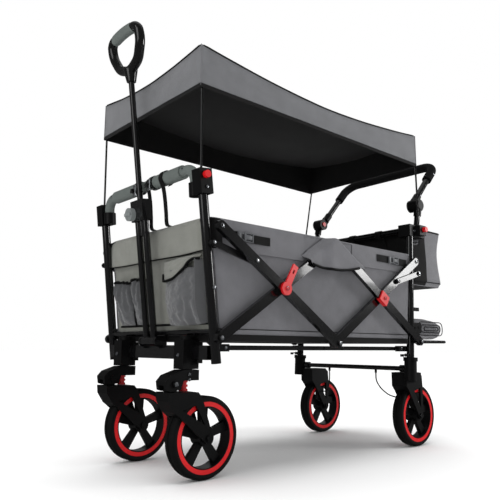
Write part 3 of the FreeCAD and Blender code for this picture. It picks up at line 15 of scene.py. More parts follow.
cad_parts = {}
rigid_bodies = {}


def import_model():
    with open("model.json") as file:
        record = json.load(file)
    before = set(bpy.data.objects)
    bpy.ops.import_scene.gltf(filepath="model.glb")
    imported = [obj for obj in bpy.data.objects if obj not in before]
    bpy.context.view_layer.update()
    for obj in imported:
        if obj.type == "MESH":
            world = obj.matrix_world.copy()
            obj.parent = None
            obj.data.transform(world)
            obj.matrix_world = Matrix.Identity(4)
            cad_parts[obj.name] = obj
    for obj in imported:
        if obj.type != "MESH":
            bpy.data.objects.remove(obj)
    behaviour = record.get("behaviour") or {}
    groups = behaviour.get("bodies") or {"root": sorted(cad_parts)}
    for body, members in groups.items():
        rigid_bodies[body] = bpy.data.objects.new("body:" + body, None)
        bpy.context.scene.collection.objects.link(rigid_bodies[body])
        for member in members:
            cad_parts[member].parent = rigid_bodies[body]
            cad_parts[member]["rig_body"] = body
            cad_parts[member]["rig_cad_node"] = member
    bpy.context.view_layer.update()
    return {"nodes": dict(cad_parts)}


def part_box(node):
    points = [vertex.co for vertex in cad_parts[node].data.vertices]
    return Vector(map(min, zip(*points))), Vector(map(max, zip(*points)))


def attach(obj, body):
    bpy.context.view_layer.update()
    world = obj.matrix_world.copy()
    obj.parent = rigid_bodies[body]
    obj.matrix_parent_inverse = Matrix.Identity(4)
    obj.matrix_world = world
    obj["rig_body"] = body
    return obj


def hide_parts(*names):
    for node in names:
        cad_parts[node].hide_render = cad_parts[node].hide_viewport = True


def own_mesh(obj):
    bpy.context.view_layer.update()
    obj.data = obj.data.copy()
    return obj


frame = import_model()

MM = 0.001

# %% [markdown]
# ## The camera
# It stands low beside the front left wheel, at knee height, and looks up at the
# canopy.

# %% Camera
EYE = Vector((-1.2491, -1.3364, 0.3211))
LOOK_YAW, LOOK_PITCH, LOOK_ROLL = math.radians(41.2), math.radians(9.6), math.radians(0.4)
forward = Vector((math.sin(LOOK_YAW) * math.cos(LOOK_PITCH),
                  math.cos(LOOK_YAW) * math.cos(LOOK_PITCH), math.sin(LOOK_PITCH)))
right = forward.cross(Vector((0, 0, 1))).normalized()
up = right.cross(forward)
tilted_right = right * math.cos(LOOK_ROLL) + up * math.sin(LOOK_ROLL)
tilted_up = up * math.cos(LOOK_ROLL) - right * math.sin(LOOK_ROLL)
lens_data = bpy.data.cameras.new("product_camera")
lens_data.lens = 41.14
lens_data.sensor_width = 36
camera = bpy.data.objects.new("product_camera", lens_data)
camera.matrix_world = Matrix((
    (tilted_right.x, tilted_up.x, -forward.x, EYE.x),
    (tilted_right.y, tilted_up.y, -forward.y, EYE.y),
    (tilted_right.z, tilted_up.z, -forward.z, EYE.z),
    (0, 0, 0, 1)))
bpy.context.scene.collection.objects.link(camera)
bpy.context.scene.camera = camera
print("camera at", tuple(round(value, 3) for value in EYE))

# %% [markdown]
# ## Finishes
# Each finish starts from the real material. One function turns a hex colour to
# linear values, one adds a node with its settings and links.


# %% Node helpers
def linear(hex_colour):
    """A six-digit sRGB hex colour as linear red, green, blue and alpha."""
    values = [int(hex_colour[i:i + 2], 16) / 255 for i in (0, 2, 4)]
    return [v / 12.92 if v <= 0.04045 else ((v + 0.055) / 1.055) ** 2.4 for v in values] + [1.0]


def add_node(tree, kind, settings=None, inputs=None):
    """Adds a node. A tuple (node, socket name) among the inputs is a link, anything else a value."""
    made = tree.nodes.new(kind)
    for name, value in (settings or {}).items():
        setattr(made, name, value)
    for name, value in (inputs or {}).items():
        if isinstance(value, tuple) and hasattr(value[0], "outputs"):
            tree.links.new(value[0].outputs[value[1]], made.inputs[name])
        else:
            made.inputs[name].default_value = value
    return made


def new_finish(name):
    """A material with an empty tree, its Principled shader and its output."""
    finish = bpy.data.materials.new(name)
    finish.use_nodes = True
    finish.node_tree.nodes.clear()
    shader = add_node(finish.node_tree, "ShaderNodeBsdfPrincipled")
    add_node(finish.node_tree, "ShaderNodeOutputMaterial", None, {"Surface": (shader, "BSDF")})
    return finish, finish.node_tree, shader


def mottle(tree, place, patch, low, high, colour):
    """Noise that varies a colour a little; patch is the size of the blotches in metres."""
    blotches = add_node(tree, "ShaderNodeTexNoise", None,
                        {"Vector": place, "Scale": 1 / patch, "Detail": 4.0, "Roughness": 0.6})
    ramp = add_node(tree, "ShaderNodeValToRGB", None, {"Fac": (blotches, "Fac")})
    ramp.color_ramp.elements[0].position = 0.3
    ramp.color_ramp.elements[0].color = [c * low for c in colour[:3]] + [1]
    ramp.color_ramp.elements[1].position = 0.7
    ramp.color_ramp.elements[1].color = [min(c * high, 1) for c in colour[:3]] + [1]
    return ramp


def plain_finish(name, hex_colour, roughness, metallic=0.0, ior=1.5, grain=0.0006, bump=0.06,
                 patch=0.02, spread=0.12, coat=0.0, specular=0.5):
    """A moulded, painted or plated surface: fine grain in the bump, faint patches in the colour."""
    finish, tree, shader = new_finish(name)
    place = (add_node(tree, "ShaderNodeTexCoord"), "Object")
    colour = mottle(tree, place, patch, 1 - spread, 1 + spread, linear(hex_colour))
    fine = add_node(tree, "ShaderNodeTexNoise", None,
                    {"Vector": place, "Scale": 1 / grain, "Detail": 2.0})
    relief = add_node(tree, "ShaderNodeBump", None,
                      {"Height": (fine, "Fac"), "Strength": bump, "Distance": grain * 0.5})
    wear = add_node(tree, "ShaderNodeMapRange", None,
                    {"Value": (fine, "Fac"), "To Min": max(roughness - 0.05, 0.02),
                     "To Max": min(roughness + 0.05, 1.0)})
    tree.links.new(colour.outputs["Color"], shader.inputs["Base Color"])
    tree.links.new(relief.outputs["Normal"], shader.inputs["Normal"])
    tree.links.new(wear.outputs["Result"], shader.inputs["Roughness"])
    shader.inputs["Metallic"].default_value = metallic
    shader.inputs["IOR"].default_value = ior
    shader.inputs["Specular IOR Level"].default_value = specular
    shader.inputs["Coat Weight"].default_value = coat
    shader.inputs["Coat Roughness"].default_value = 0.05
    return finish


def woven_finish(name, hex_colour, roughness=0.85, thread=0.0016, bump=0.5, spread=0.1, source="UV",
                 ribs=False, sheen=0.25):
    """Cloth: crossing threads in the bump and in the colour, broad blotches from handling.

    The thread spacing is drawn coarser than the real 0.5 mm so that it shows."""
    finish, tree, shader = new_finish(name)
    place = (add_node(tree, "ShaderNodeTexCoord"), source)
    broad = mottle(tree, place, 0.05, 1 - spread, 1 + spread, linear(hex_colour))
    axes = ("X",) if ribs else (("X", "Y") if source == "UV" else ("X", "Y", "Z"))
    height = None
    for axis in axes:
        wave = add_node(tree, "ShaderNodeTexWave", {"bands_direction": axis, "wave_profile": "SIN"},
                        {"Vector": place, "Scale": 1 / thread / 3.1, "Distortion": 0.6,
                         "Detail": 1.0, "Detail Scale": 0.5})
        if height is None:
            height = wave
            height_out = (wave, "Fac")
        else:
            height = add_node(tree, "ShaderNodeMath", {"operation": "ADD"})
            tree.links.new(height_out[0].outputs[height_out[1]], height.inputs[0])
            tree.links.new(wave.outputs["Fac"], height.inputs[1])
            height_out = (height, "Value")
    shade = add_node(tree, "ShaderNodeMapRange", None,
                     {"Value": height_out, "From Max": float(len(axes)), "To Min": 0.86, "To Max": 1.08})
    tinted = add_node(tree, "ShaderNodeMix", {"data_type": "RGBA", "blend_type": "MULTIPLY"})
    tinted.inputs[0].default_value = 1.0
    tree.links.new(broad.outputs["Color"], tinted.inputs[6])
    tree.links.new(shade.outputs["Result"], tinted.inputs[7])
    relief = add_node(tree, "ShaderNodeBump", None,
                      {"Height": height_out, "Strength": bump, "Distance": thread * 0.25})
    tree.links.new(tinted.outputs[2], shader.inputs["Base Color"])
    tree.links.new(relief.outputs["Normal"], shader.inputs["Normal"])
    shader.inputs["Roughness"].default_value = roughness
    shader.inputs["IOR"].default_value = 1.46
    shader.inputs["Sheen Weight"].default_value = sheen
    shader.inputs["Sheen Roughness"].default_value = 0.5
    return finish


# %% [markdown]
# ### What the wagon is made of
# The tubes are steel with a gloss black powder coat, which shows a sharp
# highlight with a faint orange peel. Knuckles, forks and corner blocks are black
# nylon filled with glass fibre, moulded with a fine matt grain. Locks and buttons
# are red ABS. The cloth is a grey 600-denier polyester with black binding tape.

# %% The finishes
powder_black = plain_finish("powder_coated_steel_black", "0B0B0C", 0.16, grain=0.0012, bump=0.05,
                            patch=0.06, spread=0.1, coat=0.5)
nylon_black = plain_finish("glass_filled_nylon_black", "0A0A0B", 0.44, ior=1.53, grain=0.0005, bump=0.16,
                           specular=0.25)
rubber_black = plain_finish("tyre_rubber_black", "0B0B0B", 0.7, ior=1.52, grain=0.0008, bump=0.25,
                            specular=0.3)
foam_black = plain_finish("eva_foam_black", "0D0D0E", 0.78, ior=1.45, grain=0.0009, bump=0.4,
                          specular=0.3)
grip_gloss = plain_finish("moulded_abs_gloss_black", "0A0A0A", 0.13, ior=1.54, bump=0.03, coat=0.4)
abs_red = plain_finish("moulded_abs_red", "CE1218", 0.34, ior=1.54, bump=0.05, spread=0.05)
urethane_red = plain_finish("cast_polyurethane_red", "C4161B", 0.42, ior=1.5, bump=0.08, spread=0.06)
grip_grey = plain_finish("soft_grip_rubber_grey_green", "626966", 0.62, ior=1.5, grain=0.0007,
                         bump=0.3, spread=0.06)
knob_grey = plain_finish("moulded_abs_mid_grey", "7C8181", 0.4, ior=1.54, bump=0.05, spread=0.05)
zinc_bright = plain_finish("zinc_plated_steel", "C9CCD0", 0.24, metallic=1.0, bump=0.05, spread=0.05)
pvc_black = plain_finish("pvc_sheath_black", "0D0D0E", 0.38, ior=1.53, grain=0.0006, bump=0.08)
cloth_grey = woven_finish("polyester_600_denier_grey", "6C6C70")
cloth_front = woven_finish("polyester_600_denier_warm_grey", "7F8079")
# The pockets are the side grey cloth drawn darker: this darker grey is painted shade.
cloth_pocket_painted_shade = woven_finish("polyester_grey_with_painted_shade", "57585A", sheen=0.35)
cloth_canopy = woven_finish("polyester_canopy_grey", "6A6B6E", thread=0.0013, bump=0.35)
cloth_black = woven_finish("polyester_lining_black", "0F0E0F", bump=0.35, spread=0.15, sheen=0.05)
cloth_roll = woven_finish("polyester_padding_grey", "6C6C70", source="Object")
webbing_black = woven_finish("nylon_webbing_black", "09090A", 0.7, thread=0.0022, bump=0.9, ribs=True,
                             sheen=0.03)
piping_black = plain_finish("binding_tape_satin_black", "0A0A0B", 0.55, ior=1.46, grain=0.001, bump=0.35,
                            specular=0.35)
# The buckles are black acetal; their grey colour is painted sheen that stands for their gloss.
buckle_painted_gloss = plain_finish("acetal_black_buckle_painted_gloss", "56585B", 0.42, ior=1.48, bump=0.08)
print("finishes", len(bpy.data.materials))

# %% [markdown]
# ### The rims' red bands
# Each wheel is black nylon with a red ring moulded into its side. The ring is a
# matter of radius, so the finish measures how far a point is from the axle.

# %% Rim finish
BAND_MIDDLE, BAND_HALF = 0.0805, 0.0056


def rim_finish(node):
    low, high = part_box(node)
    finish, tree, shader = new_finish("moulded_nylon_with_red_band_" + node)
    place = (add_node(tree, "ShaderNodeTexCoord"), "Object")
    centred = add_node(tree, "ShaderNodeMapping", {"vector_type": "POINT"}, {"Vector": place})
    centred.inputs["Location"].default_value = [-(low.x + high.x) / 2, 0, -(low.z + high.z) / 2]
    centred.inputs["Scale"].default_value = [1, 0, 1]
    radius = add_node(tree, "ShaderNodeVectorMath", {"operation": "LENGTH"}, {"Vector": (centred, "Vector")})
    band = add_node(tree, "ShaderNodeMath", {"operation": "COMPARE"})
    tree.links.new(radius.outputs["Value"], band.inputs[0])
    band.inputs[1].default_value = BAND_MIDDLE
    band.inputs[2].default_value = BAND_HALF
    colour = add_node(tree, "ShaderNodeMix", {"data_type": "RGBA"}, {"Factor": (band, "Value")})
    colour.inputs[6].default_value = linear("0C0C0D")
    colour.inputs[7].default_value = linear("DA161C")
    fine = add_node(tree, "ShaderNodeTexNoise", None, {"Vector": place, "Scale": 1600.0, "Detail": 2.0})
    relief = add_node(tree, "ShaderNodeBump", None,
                      {"Height": (fine, "Fac"), "Strength": 0.1, "Distance": 0.0003})
    tree.links.new(colour.outputs[2], shader.inputs["Base Color"])
    tree.links.new(relief.outputs["Normal"], shader.inputs["Normal"])
    shader.inputs["Roughness"].default_value = 0.4
    shader.inputs["Specular IOR Level"].default_value = 0.35
    return finish


# %% [markdown]
# ## Finishes on the solids
# Every solid keeps its shape and gets the finish of its material.

# %% Dress the solids
DRESS = {
    powder_black: ["rear_posts", "front_posts", "rear_top_frame", "rear_axle_bar", "rear_long_arms",
                   "rear_short_arms", "front_long_arms", "front_short_arms", "rear_stays", "front_stays",
                   "rear_rails", "front_rails", "footwell_frame", "axle_beam",
                   "pull_lower_tubes", "pull_inner_tube", "push_handle", "canopy_front_poles",
                   "canopy_rear_poles", "rear_fasteners", "front_fasteners"],
    nylon_black: ["rear_corner_blocks", "rear_forks", "front_corners", "caster_housings",
                  "caster_crown_left", "caster_crown_right", "front_fork_left", "front_fork_right",
                  "push_knuckles", "release_lever_left", "release_lever_right"],
    rubber_black: ["rear_tyre_left", "rear_tyre_right", "front_tyre_left", "front_tyre_right"],
    abs_red: ["rear_saddles", "fold_latches", "front_pole_button_left", "front_pole_button_right",
              "rear_pole_button_left", "rear_pole_button_right", "push_button_left", "push_button_right"],
    urethane_red: ["elastomer_left", "elastomer_right"],
    grip_grey: ["front_grips", "front_top_bar"],
    foam_black: ["push_grip"],
    grip_gloss: ["pull_grip"],
    knob_grey: ["pull_knob"],
    pvc_black: ["brake_cables"],
    cloth_grey: ["tub", "canopy", "rear_bag", "footwell"],
}
dressed = {node: finish for finish, nodes in DRESS.items() for node in nodes}
for rim in ("rear_rim_left", "rear_rim_right", "front_rim_left", "front_rim_right"):
    dressed[rim] = rim_finish(rim)
for name, solid in frame["nodes"].items():
    solid.data.materials.clear()
    solid.data.materials.append(dressed[name])
print("dressed", len(dressed), "solids")

# %% [markdown]
# ## Working tools
# A few helpers stand for what a maker does by hand: pick one piece, apply a
# modifier, lay a sheet of cloth over a shape, pull a cord into its seam.


# %% Tools
def deselect_all():
    """Nothing stays selected, so that an operator acts only on what is picked next."""
    for other in bpy.context.scene.objects:
        other.select_set(False)


def pick(piece):
    """Deselects everything, then selects this piece and makes it active."""
    deselect_all()
    piece.select_set(True)
    bpy.context.view_layer.objects.active = piece


def apply_modifier(piece, kind, **settings):
    pick(piece)
    modifier = piece.modifiers.new(kind.lower(), kind)
    for name, value in settings.items():
        setattr(modifier, name, value)
    bpy.ops.object.modifier_apply(modifier=modifier.name)


def edit(piece, *steps):
    """Runs edit-mode steps on the whole piece."""
    pick(piece)
    bpy.ops.object.mode_set(mode="EDIT")
    bpy.ops.mesh.select_all(action="SELECT")
    for step in steps:
        step()
    bpy.ops.object.mode_set(mode="OBJECT")


def weld(piece, gap=0.0002):
    edit(piece, lambda: bpy.ops.mesh.remove_doubles(threshold=gap))


def turn_outwards(piece):
    edit(piece, lambda: bpy.ops.mesh.normals_make_consistent(inside=False))


def soften(piece, angle=40):
    pick(piece)
    bpy.ops.object.shade_smooth_by_angle(angle=math.radians(angle))


def dress(piece, *finishes):
    piece.data.materials.clear()
    for finish in finishes:
        piece.data.materials.append(finish)


def settle(piece):
    """Puts the piece's place into its mesh, so that the object sits at the origin."""
    pick(piece)
    bpy.ops.object.transform_apply(location=True, rotation=True, scale=True)


def smooth_step(value):
    value = min(max(value, 0.0), 1.0)
    return value * value * (3 - 2 * value)


def cloth(name, columns, rows, place, width, length, thickness=0.0016, finishes=(),
          closed=False, offset=-1.0):
    """A sheet of cloth: a grid whose points go where place(u, v) says, then a thickness."""
    deselect_all()
    bpy.ops.mesh.primitive_grid_add(x_subdivisions=columns, y_subdivisions=rows, size=2)
    piece = bpy.context.active_object
    piece.name = name
    for corner in piece.data.uv_layers.active.data:
        corner.uv = (corner.uv[0] * width, corner.uv[1] * length)
    for point in piece.data.vertices:
        point.co = place((point.co.x + 1) / 2, (point.co.y + 1) / 2)
    dress(piece, *finishes)
    if closed:
        weld(piece)
    if thickness:
        apply_modifier(piece, "SOLIDIFY", thickness=thickness, offset=offset,
                       material_offset=1 if len(finishes) > 1 else 0)
    soften(piece, 60)
    return piece


def cord_seam(name, points, radius, finish, closed=False, sides=3):
    """Piping: a round cord along points, made a mesh."""
    curve = bpy.data.curves.new(name, "CURVE")
    curve.dimensions = "3D"
    curve.bevel_depth = radius
    curve.bevel_resolution = sides
    curve.use_fill_caps = True
    spline = curve.splines.new("NURBS")
    spline.points.add(len(points) - 1)
    for item, point in zip(spline.points, points):
        item.co = (*point, 1.0)
    spline.order_u = 3
    spline.use_cyclic_u = closed
    spline.use_endpoint_u = not closed
    spline.resolution_u = 3
    piece = bpy.data.objects.new(name, curve)
    bpy.context.scene.collection.objects.link(piece)
    pick(piece)
    bpy.ops.object.convert(target="MESH")
    piece = bpy.context.active_object
    piece.name = name
    weld(piece, 0.00005)
    turn_outwards(piece)
    dress(piece, finish)
    soften(piece, 70)
    return piece


def join(name, pieces):
    deselect_all()
    for piece in pieces:
        piece.select_set(True)
    bpy.context.view_layer.objects.active = pieces[0]
    bpy.ops.object.join()
    pieces[0].name = name
    return pieces[0]


# %% [markdown]
# ## How the cloth rides the frame
# When the frame folds, the front posts slide back toward the rear ones. The helpers
# below fix a cloth piece to the rear frame and give it a mesh of its own; no piece
# flattens as the posts close.

# %% Riding the rear frame
REAR_POST_X, FRONT_POST_X = 0.409, -0.409


def with_tub(piece):
    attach(piece, "rear_frame")
    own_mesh(piece)
    return piece


def on_rear_frame(piece):
    """A piece that stays with the rear frame and doesn't flatten."""
    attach(piece, "rear_frame")
    return piece


def with_canopy(piece):
    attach(piece, "rear_frame")
    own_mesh(piece)
    return piece


# %% [markdown]
# ## The tub
# Sewn polyester hangs from the post tops to the rails. It is one long wall that
# runs round, closed at the rear, with a black lining. Its ends lean out toward
# the top, as the posts do. Small hollows and ripples keep it from looking stiff.

# %% Tub wall
TUB_HALF_X, TUB_HALF, TUB_LOW, TUB_TOP = 0.41, 0.2535, 0.3345, 0.630
END_LOW, END_TOP = 0.3925, 0.4285
TUB_CORNER = 0.008


def tub_end(z):
    """How far the tub's front and rear walls are from the middle at a height."""
    return END_LOW + (END_TOP - END_LOW) * (z - TUB_LOW) / (TUB_TOP - TUB_LOW)


def ring_point(t, half_x, half_y, corner):
    """A point and its outward direction on a rounded rectangle, counter-clockwise from the rear."""
    straight_x, straight_y = 2 * (half_x - corner), 2 * (half_y - corner)
    arc = math.pi / 2 * corner
    runs = [("line", (half_x, 0), (0, 1), straight_y / 2), ("arc", (1, 1), 0, arc),
            ("line", (half_x - corner, half_y), (-1, 0), straight_x), ("arc", (-1, 1), 1, arc),
            ("line", (-half_x, half_y - corner), (0, -1), straight_y), ("arc", (-1, -1), 2, arc),
            ("line", (-half_x + corner, -half_y), (1, 0), straight_x), ("arc", (1, -1), 3, arc),
            ("line", (half_x, -half_y + corner), (0, 1), straight_y / 2)]
    along = (t % 1.0) * sum(run[3] for run in runs)
    for kind, start, turn, long in runs:
        if along <= long + 1e-12:
            break
        along -= long
    if kind == "line":
        return (start[0] + turn[0] * along, start[1] + turn[1] * along, turn[1], -turn[0])
    angle = (turn + along / arc) * math.pi / 2
    across, away = math.cos(angle), math.sin(angle)
    return (start[0] * (half_x - corner) + corner * across, start[1] * (half_y - corner) + corner * away,
            across, away)


def ripple(x, y, z, size, seed=0.0):
    """A smooth random hollow or swelling between -size and size."""
    broad = noise.noise(Vector((x * 5.0 + seed, y * 5.0, z * 7.0)))
    fine = noise.noise(Vector((x * 14.0, y * 14.0 + seed, z * 16.0)))
    return size * (0.8 * broad + 0.35 * fine)


def tub_point(t, z, proud=0.0):
    x, y, across, away = ring_point(t, TUB_HALF_X, TUB_HALF, TUB_CORNER)
    x *= tub_end(z) / TUB_HALF_X
    free = math.sin(math.pi * min(max((z - TUB_LOW) / (TUB_TOP - TUB_LOW), 0), 1))
    wave = ripple(x, y, z, 0.0035) * free
    proud += wave - 0.002 * free
    return Vector((x + across * proud, y + away * proud, z))


TUB_ROUND = 2 * (2 * TUB_HALF_X + 2 * TUB_HALF)
tub = cloth("tub_wall", 220, 24, lambda u, v: tub_point(u, TUB_LOW + (TUB_TOP - TUB_LOW) * v),
            TUB_ROUND, TUB_TOP - TUB_LOW, 0.003, (cloth_grey, cloth_black), closed=True)
with_tub(tub)
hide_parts("tub")
print("tub wall", len(tub.data.polygons), "faces")

# %% [markdown]
# ### Hem, rim and floor of the tub
# A black hem band closes the wall's lower edge and a fold of grey cloth its rim.
# Inside lies a thin padded floor mat, which swells between its quilted lines.


# %% Tub bands
def tub_band(name, low, high, proud, finish, rows=3, thickness=0.0014):
    band = cloth(name, 200, rows, lambda u, v: tub_point(u, low + (high - low) * v, proud),
                 TUB_ROUND, high - low, thickness, (finish,), closed=True)
    return with_tub(band)


tub_band("tub_hem_band", 0.3335, 0.3500, 0.0018, cloth_black)
tub_band("tub_hem_seam", 0.3620, 0.3640, 0.0010, piping_black, rows=1, thickness=0.0008)
rim_line = [tub_point(i / 160, TUB_TOP, -0.001) for i in range(160)]
with_tub(cord_seam("tub_rim_fold", rim_line, 0.0032, cloth_roll, closed=True))

MAT_HALF_X, MAT_HALF_Y, MAT_LOW, MAT_THICK = 0.382, 0.244, 0.3362, 0.0065


def mat_point(u, v):
    x, y = MAT_HALF_X * (2 * u - 1), MAT_HALF_Y * (2 * v - 1)
    quilt = abs(math.sin(math.pi * 4 * u)) ** 0.5
    edge = min(1.0, 12 * min(u, 1 - u, v, 1 - v))
    return Vector((x, y, MAT_LOW + MAT_THICK * (0.25 + 0.75 * quilt * edge ** 0.5)))


floor_mat = cloth("tub_floor_mat", 96, 48, mat_point, 2 * MAT_HALF_X, 2 * MAT_HALF_Y, 0.0015,
                  (cloth_black,))
with_tub(floor_mat)
print("tub bands and mat done")

# %% [markdown]
# ### The front wall's flap
# The upper part of the front wall is a second layer that hangs over the rim like
# a flap. It is a little wider than the wall, and its lower edge has black piping.


# %% Front flap
def front_point(y, z, proud=0.0):
    """A point on the front wall, proud of it by a distance."""
    return Vector((-(tub_end(z) + proud), y, z))


FLAP_LOW, FLAP_TOP = 0.5540, 0.6345
FLAP_RIGHT, FLAP_LEFT = -0.2300, 0.2420


def front_flap_point(u, v):
    y = FLAP_LEFT + (FLAP_RIGHT - FLAP_LEFT) * u
    sag = 0.004 * math.sin(math.pi * u) + 0.0015 * math.sin(9 * u)
    z = FLAP_LOW - sag * (1 - v) + (FLAP_TOP - FLAP_LOW) * v
    fall = 0.010 * (1 - v) ** 0.6 * (0.75 + 0.25 * math.sin(5.3 * u + 0.7))
    rounded = 0.004 * smooth_step((v - 0.86) / 0.14)
    ends = 0.004 * (1 - smooth_step(min(u, 1 - u) * 18))
    return front_point(y, z, 0.0040 + fall - rounded - ends + ripple(1.0, y, z, 0.0022))


front_flap = cloth("front_flap", 90, 20, front_flap_point, FLAP_LEFT - FLAP_RIGHT,
                   FLAP_TOP - FLAP_LOW, 0.0022, (cloth_front,))
with_tub(front_flap)
edge = [front_flap_point(i / 60, 0.0) - Vector((0.0012, 0, 0.0006)) for i in range(61)]
flap_piping = with_tub(cord_seam("front_flap_piping", edge, 0.0019, piping_black))

# The front wall itself is a panel of the warmer grey.
PANEL_WIDE, PANEL_TALL, PANEL_LOW = 0.464, 0.21, 0.352
panel = cloth("front_panel", 60, 16,
              lambda u, v: front_point(PANEL_WIDE / 2 - PANEL_WIDE * u, PANEL_LOW + PANEL_TALL * v,
                                       0.0016 + ripple(1.0, u, v, 0.0012)),
              PANEL_WIDE, PANEL_TALL, 0.0012, (cloth_front,))
with_tub(panel)
print("front wall done")

# %% [markdown]
# ### The large front pocket
# A bellows pocket: it stands out most below its middle, is sewn flat at its sides
# and foot, and sags in creases at the lower right corner. A shaped flap with
# black piping closes it, and a black gusset shows down its right side.

# %% Large pocket
POCKET_RIGHT, POCKET_LEFT = -0.2080, -0.0540
POCKET_LOW, POCKET_TOP = 0.3760, 0.5160
POCKET_DEEP = 0.040


def pocket_bulge(u, v, deep):
    """How far a pocket stands out: nothing at its seams, most below the middle."""
    sides = math.sin(math.pi * min(max(u, 0), 1)) ** 0.55
    tall = math.sin(math.pi * (0.08 + 0.84 * v) ** 0.8) ** 0.6
    return deep * sides * tall


def large_pocket_point(u, v):
    y = POCKET_LEFT + (POCKET_RIGHT - POCKET_LEFT) * u
    z = POCKET_LOW + (POCKET_TOP - POCKET_LOW) * v
    crease = 0.0075 * math.exp(-((u - 0.80) / 0.055) ** 2) * smooth_step(1.15 - v)
    crease += 0.0070 * math.exp(-((u - 0.62 - 0.14 * v) / 0.045) ** 2) * smooth_step(0.85 - v)
    crease += 0.0050 * math.exp(-((u - 0.30 + 0.10 * v) / 0.05) ** 2) * smooth_step(0.6 - v)
    pull = 0.0042 * math.sin(20 * (u + 0.55 * v)) * (1 - v) * u
    sag = -0.004 * math.sin(math.pi * u) * (1 - v)
    return front_point(y, z + sag, 0.0035 + pocket_bulge(u, v, POCKET_DEEP) - crease + pull
                       + ripple(2.0, u * 1.4, v * 1.4, 0.0050))


# The pocket's darker grey is painted shade.
large_pocket = cloth("large_pocket", 56, 48, large_pocket_point, 0.20, 0.19, 0.0018, (cloth_pocket_painted_shade,))
with_tub(large_pocket)


def pocket_flap_edge(u):
    """Height of the flap's lower edge: low on the left, then a steep rise to the right."""
    low, high = 0.4905, 0.5345
    rise = smooth_step((u - 0.42) / 0.46)
    start = 0.016 * (1 - smooth_step(u / 0.10))
    return low + start + (high - low) * rise - 0.004 * math.sin(math.pi * min(u / 0.5, 1))


def pocket_flap_point(u, v):
    y = POCKET_LEFT + 0.003 + (POCKET_RIGHT - POCKET_LEFT - 0.009) * u
    low, high = pocket_flap_edge(u), 0.5420 + 0.0045 * smooth_step(u * 2)
    z = low + (high - low) * v
    reach = min(max((z - POCKET_LOW) / (POCKET_TOP - POCKET_LOW), 0), 1)
    out = pocket_bulge(0.04 + 0.92 * u, reach, POCKET_DEEP) * (1 - v) ** 0.35
    return front_point(y, z, 0.0075 + out + ripple(3.0, u, v, 0.0015))


pocket_flap = cloth("large_pocket_flap", 56, 18, pocket_flap_point, 0.154, 0.055, 0.0018, (cloth_front,))
with_tub(pocket_flap)
flap_edge = [pocket_flap_point(i / 50, 0.0) - Vector((0.0015, 0, 0)) for i in range(51)]
pocket_piping = with_tub(cord_seam("large_pocket_piping", flap_edge, 0.0036, piping_black))


def gusset_point(u, v):
    z = POCKET_LOW + 0.002 + (0.5330 - POCKET_LOW) * v
    out = 0.0035 + 0.0330 * math.sin(math.pi * (0.10 + 0.62 * v)) ** 0.6 * (1 - u) * (1 - 0.35 * v)
    y = POCKET_RIGHT + 0.004 - 0.010 * u + 0.002 * math.sin(7 * v)
    return front_point(y, z, out)


# The gusset carries the pockets' painted shade too.
gusset = with_tub(cloth("large_pocket_gusset", 6, 40, gusset_point, 0.02, 0.15, 0.0016, (cloth_pocket_painted_shade,)))
print("large pocket done")

# %% [markdown]
# ### The two elastic pockets
# Their mouths are drawn together by elastic in a black casing, so the cloth below
# falls in folds that fade toward the foot. A black binding parts the two.


# %% Elastic pockets
def elastic_pocket(name, left, right, low, top, folds, deep, seed):
    wide = left - right

    def place(u, v):
        across = 2 * u - 1
        narrow = 1 - 0.10 * v ** 3
        y = (left + right) / 2 - across * wide / 2 * narrow
        z = low + (top - low) * v + 0.004 * math.sin(math.pi * u) * (v - 0.3)
        gather = 0.0048 * math.cos(folds * math.pi * across + seed) * v ** 1.6
        soft = 0.0055 * math.sin(3.2 * math.pi * (u + 0.25 * v) + seed) * math.sin(math.pi * u)
        mouth = 0.60 + 0.40 * math.sin(math.pi * min(1.25 * (1 - v) + 0.10, 1) ** 0.9)
        foot = smooth_step(v * 5.5) ** 0.6
        side = math.sin(math.pi * min(max(u, 0), 1)) ** 0.5
        return front_point(y, z, 0.0032 + deep * side * foot * mouth + gather + soft * foot
                           + ripple(seed, u * 1.5, v * 1.5, 0.0035))

    # These pockets are also the side grey darkened as painted shade.
    body = cloth(name, 48, 44, place, wide * 1.2, top - low, 0.0018, (cloth_pocket_painted_shade,))
    mouth_line = [place(i / 44, 1.0) + Vector((-0.0008, 0, 0.0022 * math.cos(folds * 6.28 * i / 44)))
                  for i in range(45)]
    casing = cord_seam(name + "_casing", mouth_line, 0.0034, piping_black)
    with_tub(body)
    with_tub(casing)


elastic_pocket("elastic_pocket_outer", 0.2060, 0.1240, 0.3800, 0.4990, 7, 0.038, 0.4)
elastic_pocket("elastic_pocket_inner", 0.1200, 0.0400, 0.3800, 0.5010, 6, 0.026, 1.9)
binding_line = [front_point(0.1220, 0.378 + 0.126 * i / 12, 0.0050 + 0.003 * math.sin(i * 0.5))
                for i in range(13)]
with_tub(cord_seam("pocket_binding", binding_line, 0.0030, piping_black))
inner_edge = [front_point(0.0385, 0.378 + 0.124 * i / 12, 0.0042) for i in range(13)]
with_tub(cord_seam("pocket_binding_inner", inner_edge, 0.0026, piping_black))
foot_line = [front_point(0.212 - 0.424 * i / 40, 0.3765, 0.0035) for i in range(41)]
with_tub(cord_seam("pocket_foot_binding", foot_line, 0.0030, piping_black))
print("elastic pockets done")

# %% [markdown]
# ### The sides
# Each side has a second layer of cloth at the top with a stitched lower seam. In
# the middle it leaves the wall and passes over the tops of the folding arms; its
# free edge is an arc with black piping. Black patches reinforce the front corners.

# %% Side bands
BAND_SEAM = 0.5560
ARM_CROSSING_X, ARM_CROSSING_Z = 0.2114, 0.4695
ARM_SLOPE = (0.607 - ARM_CROSSING_Z) / ARM_CROSSING_X
ARM_COVER, ARM_COVER_INNER = 0.0385, 0.0250


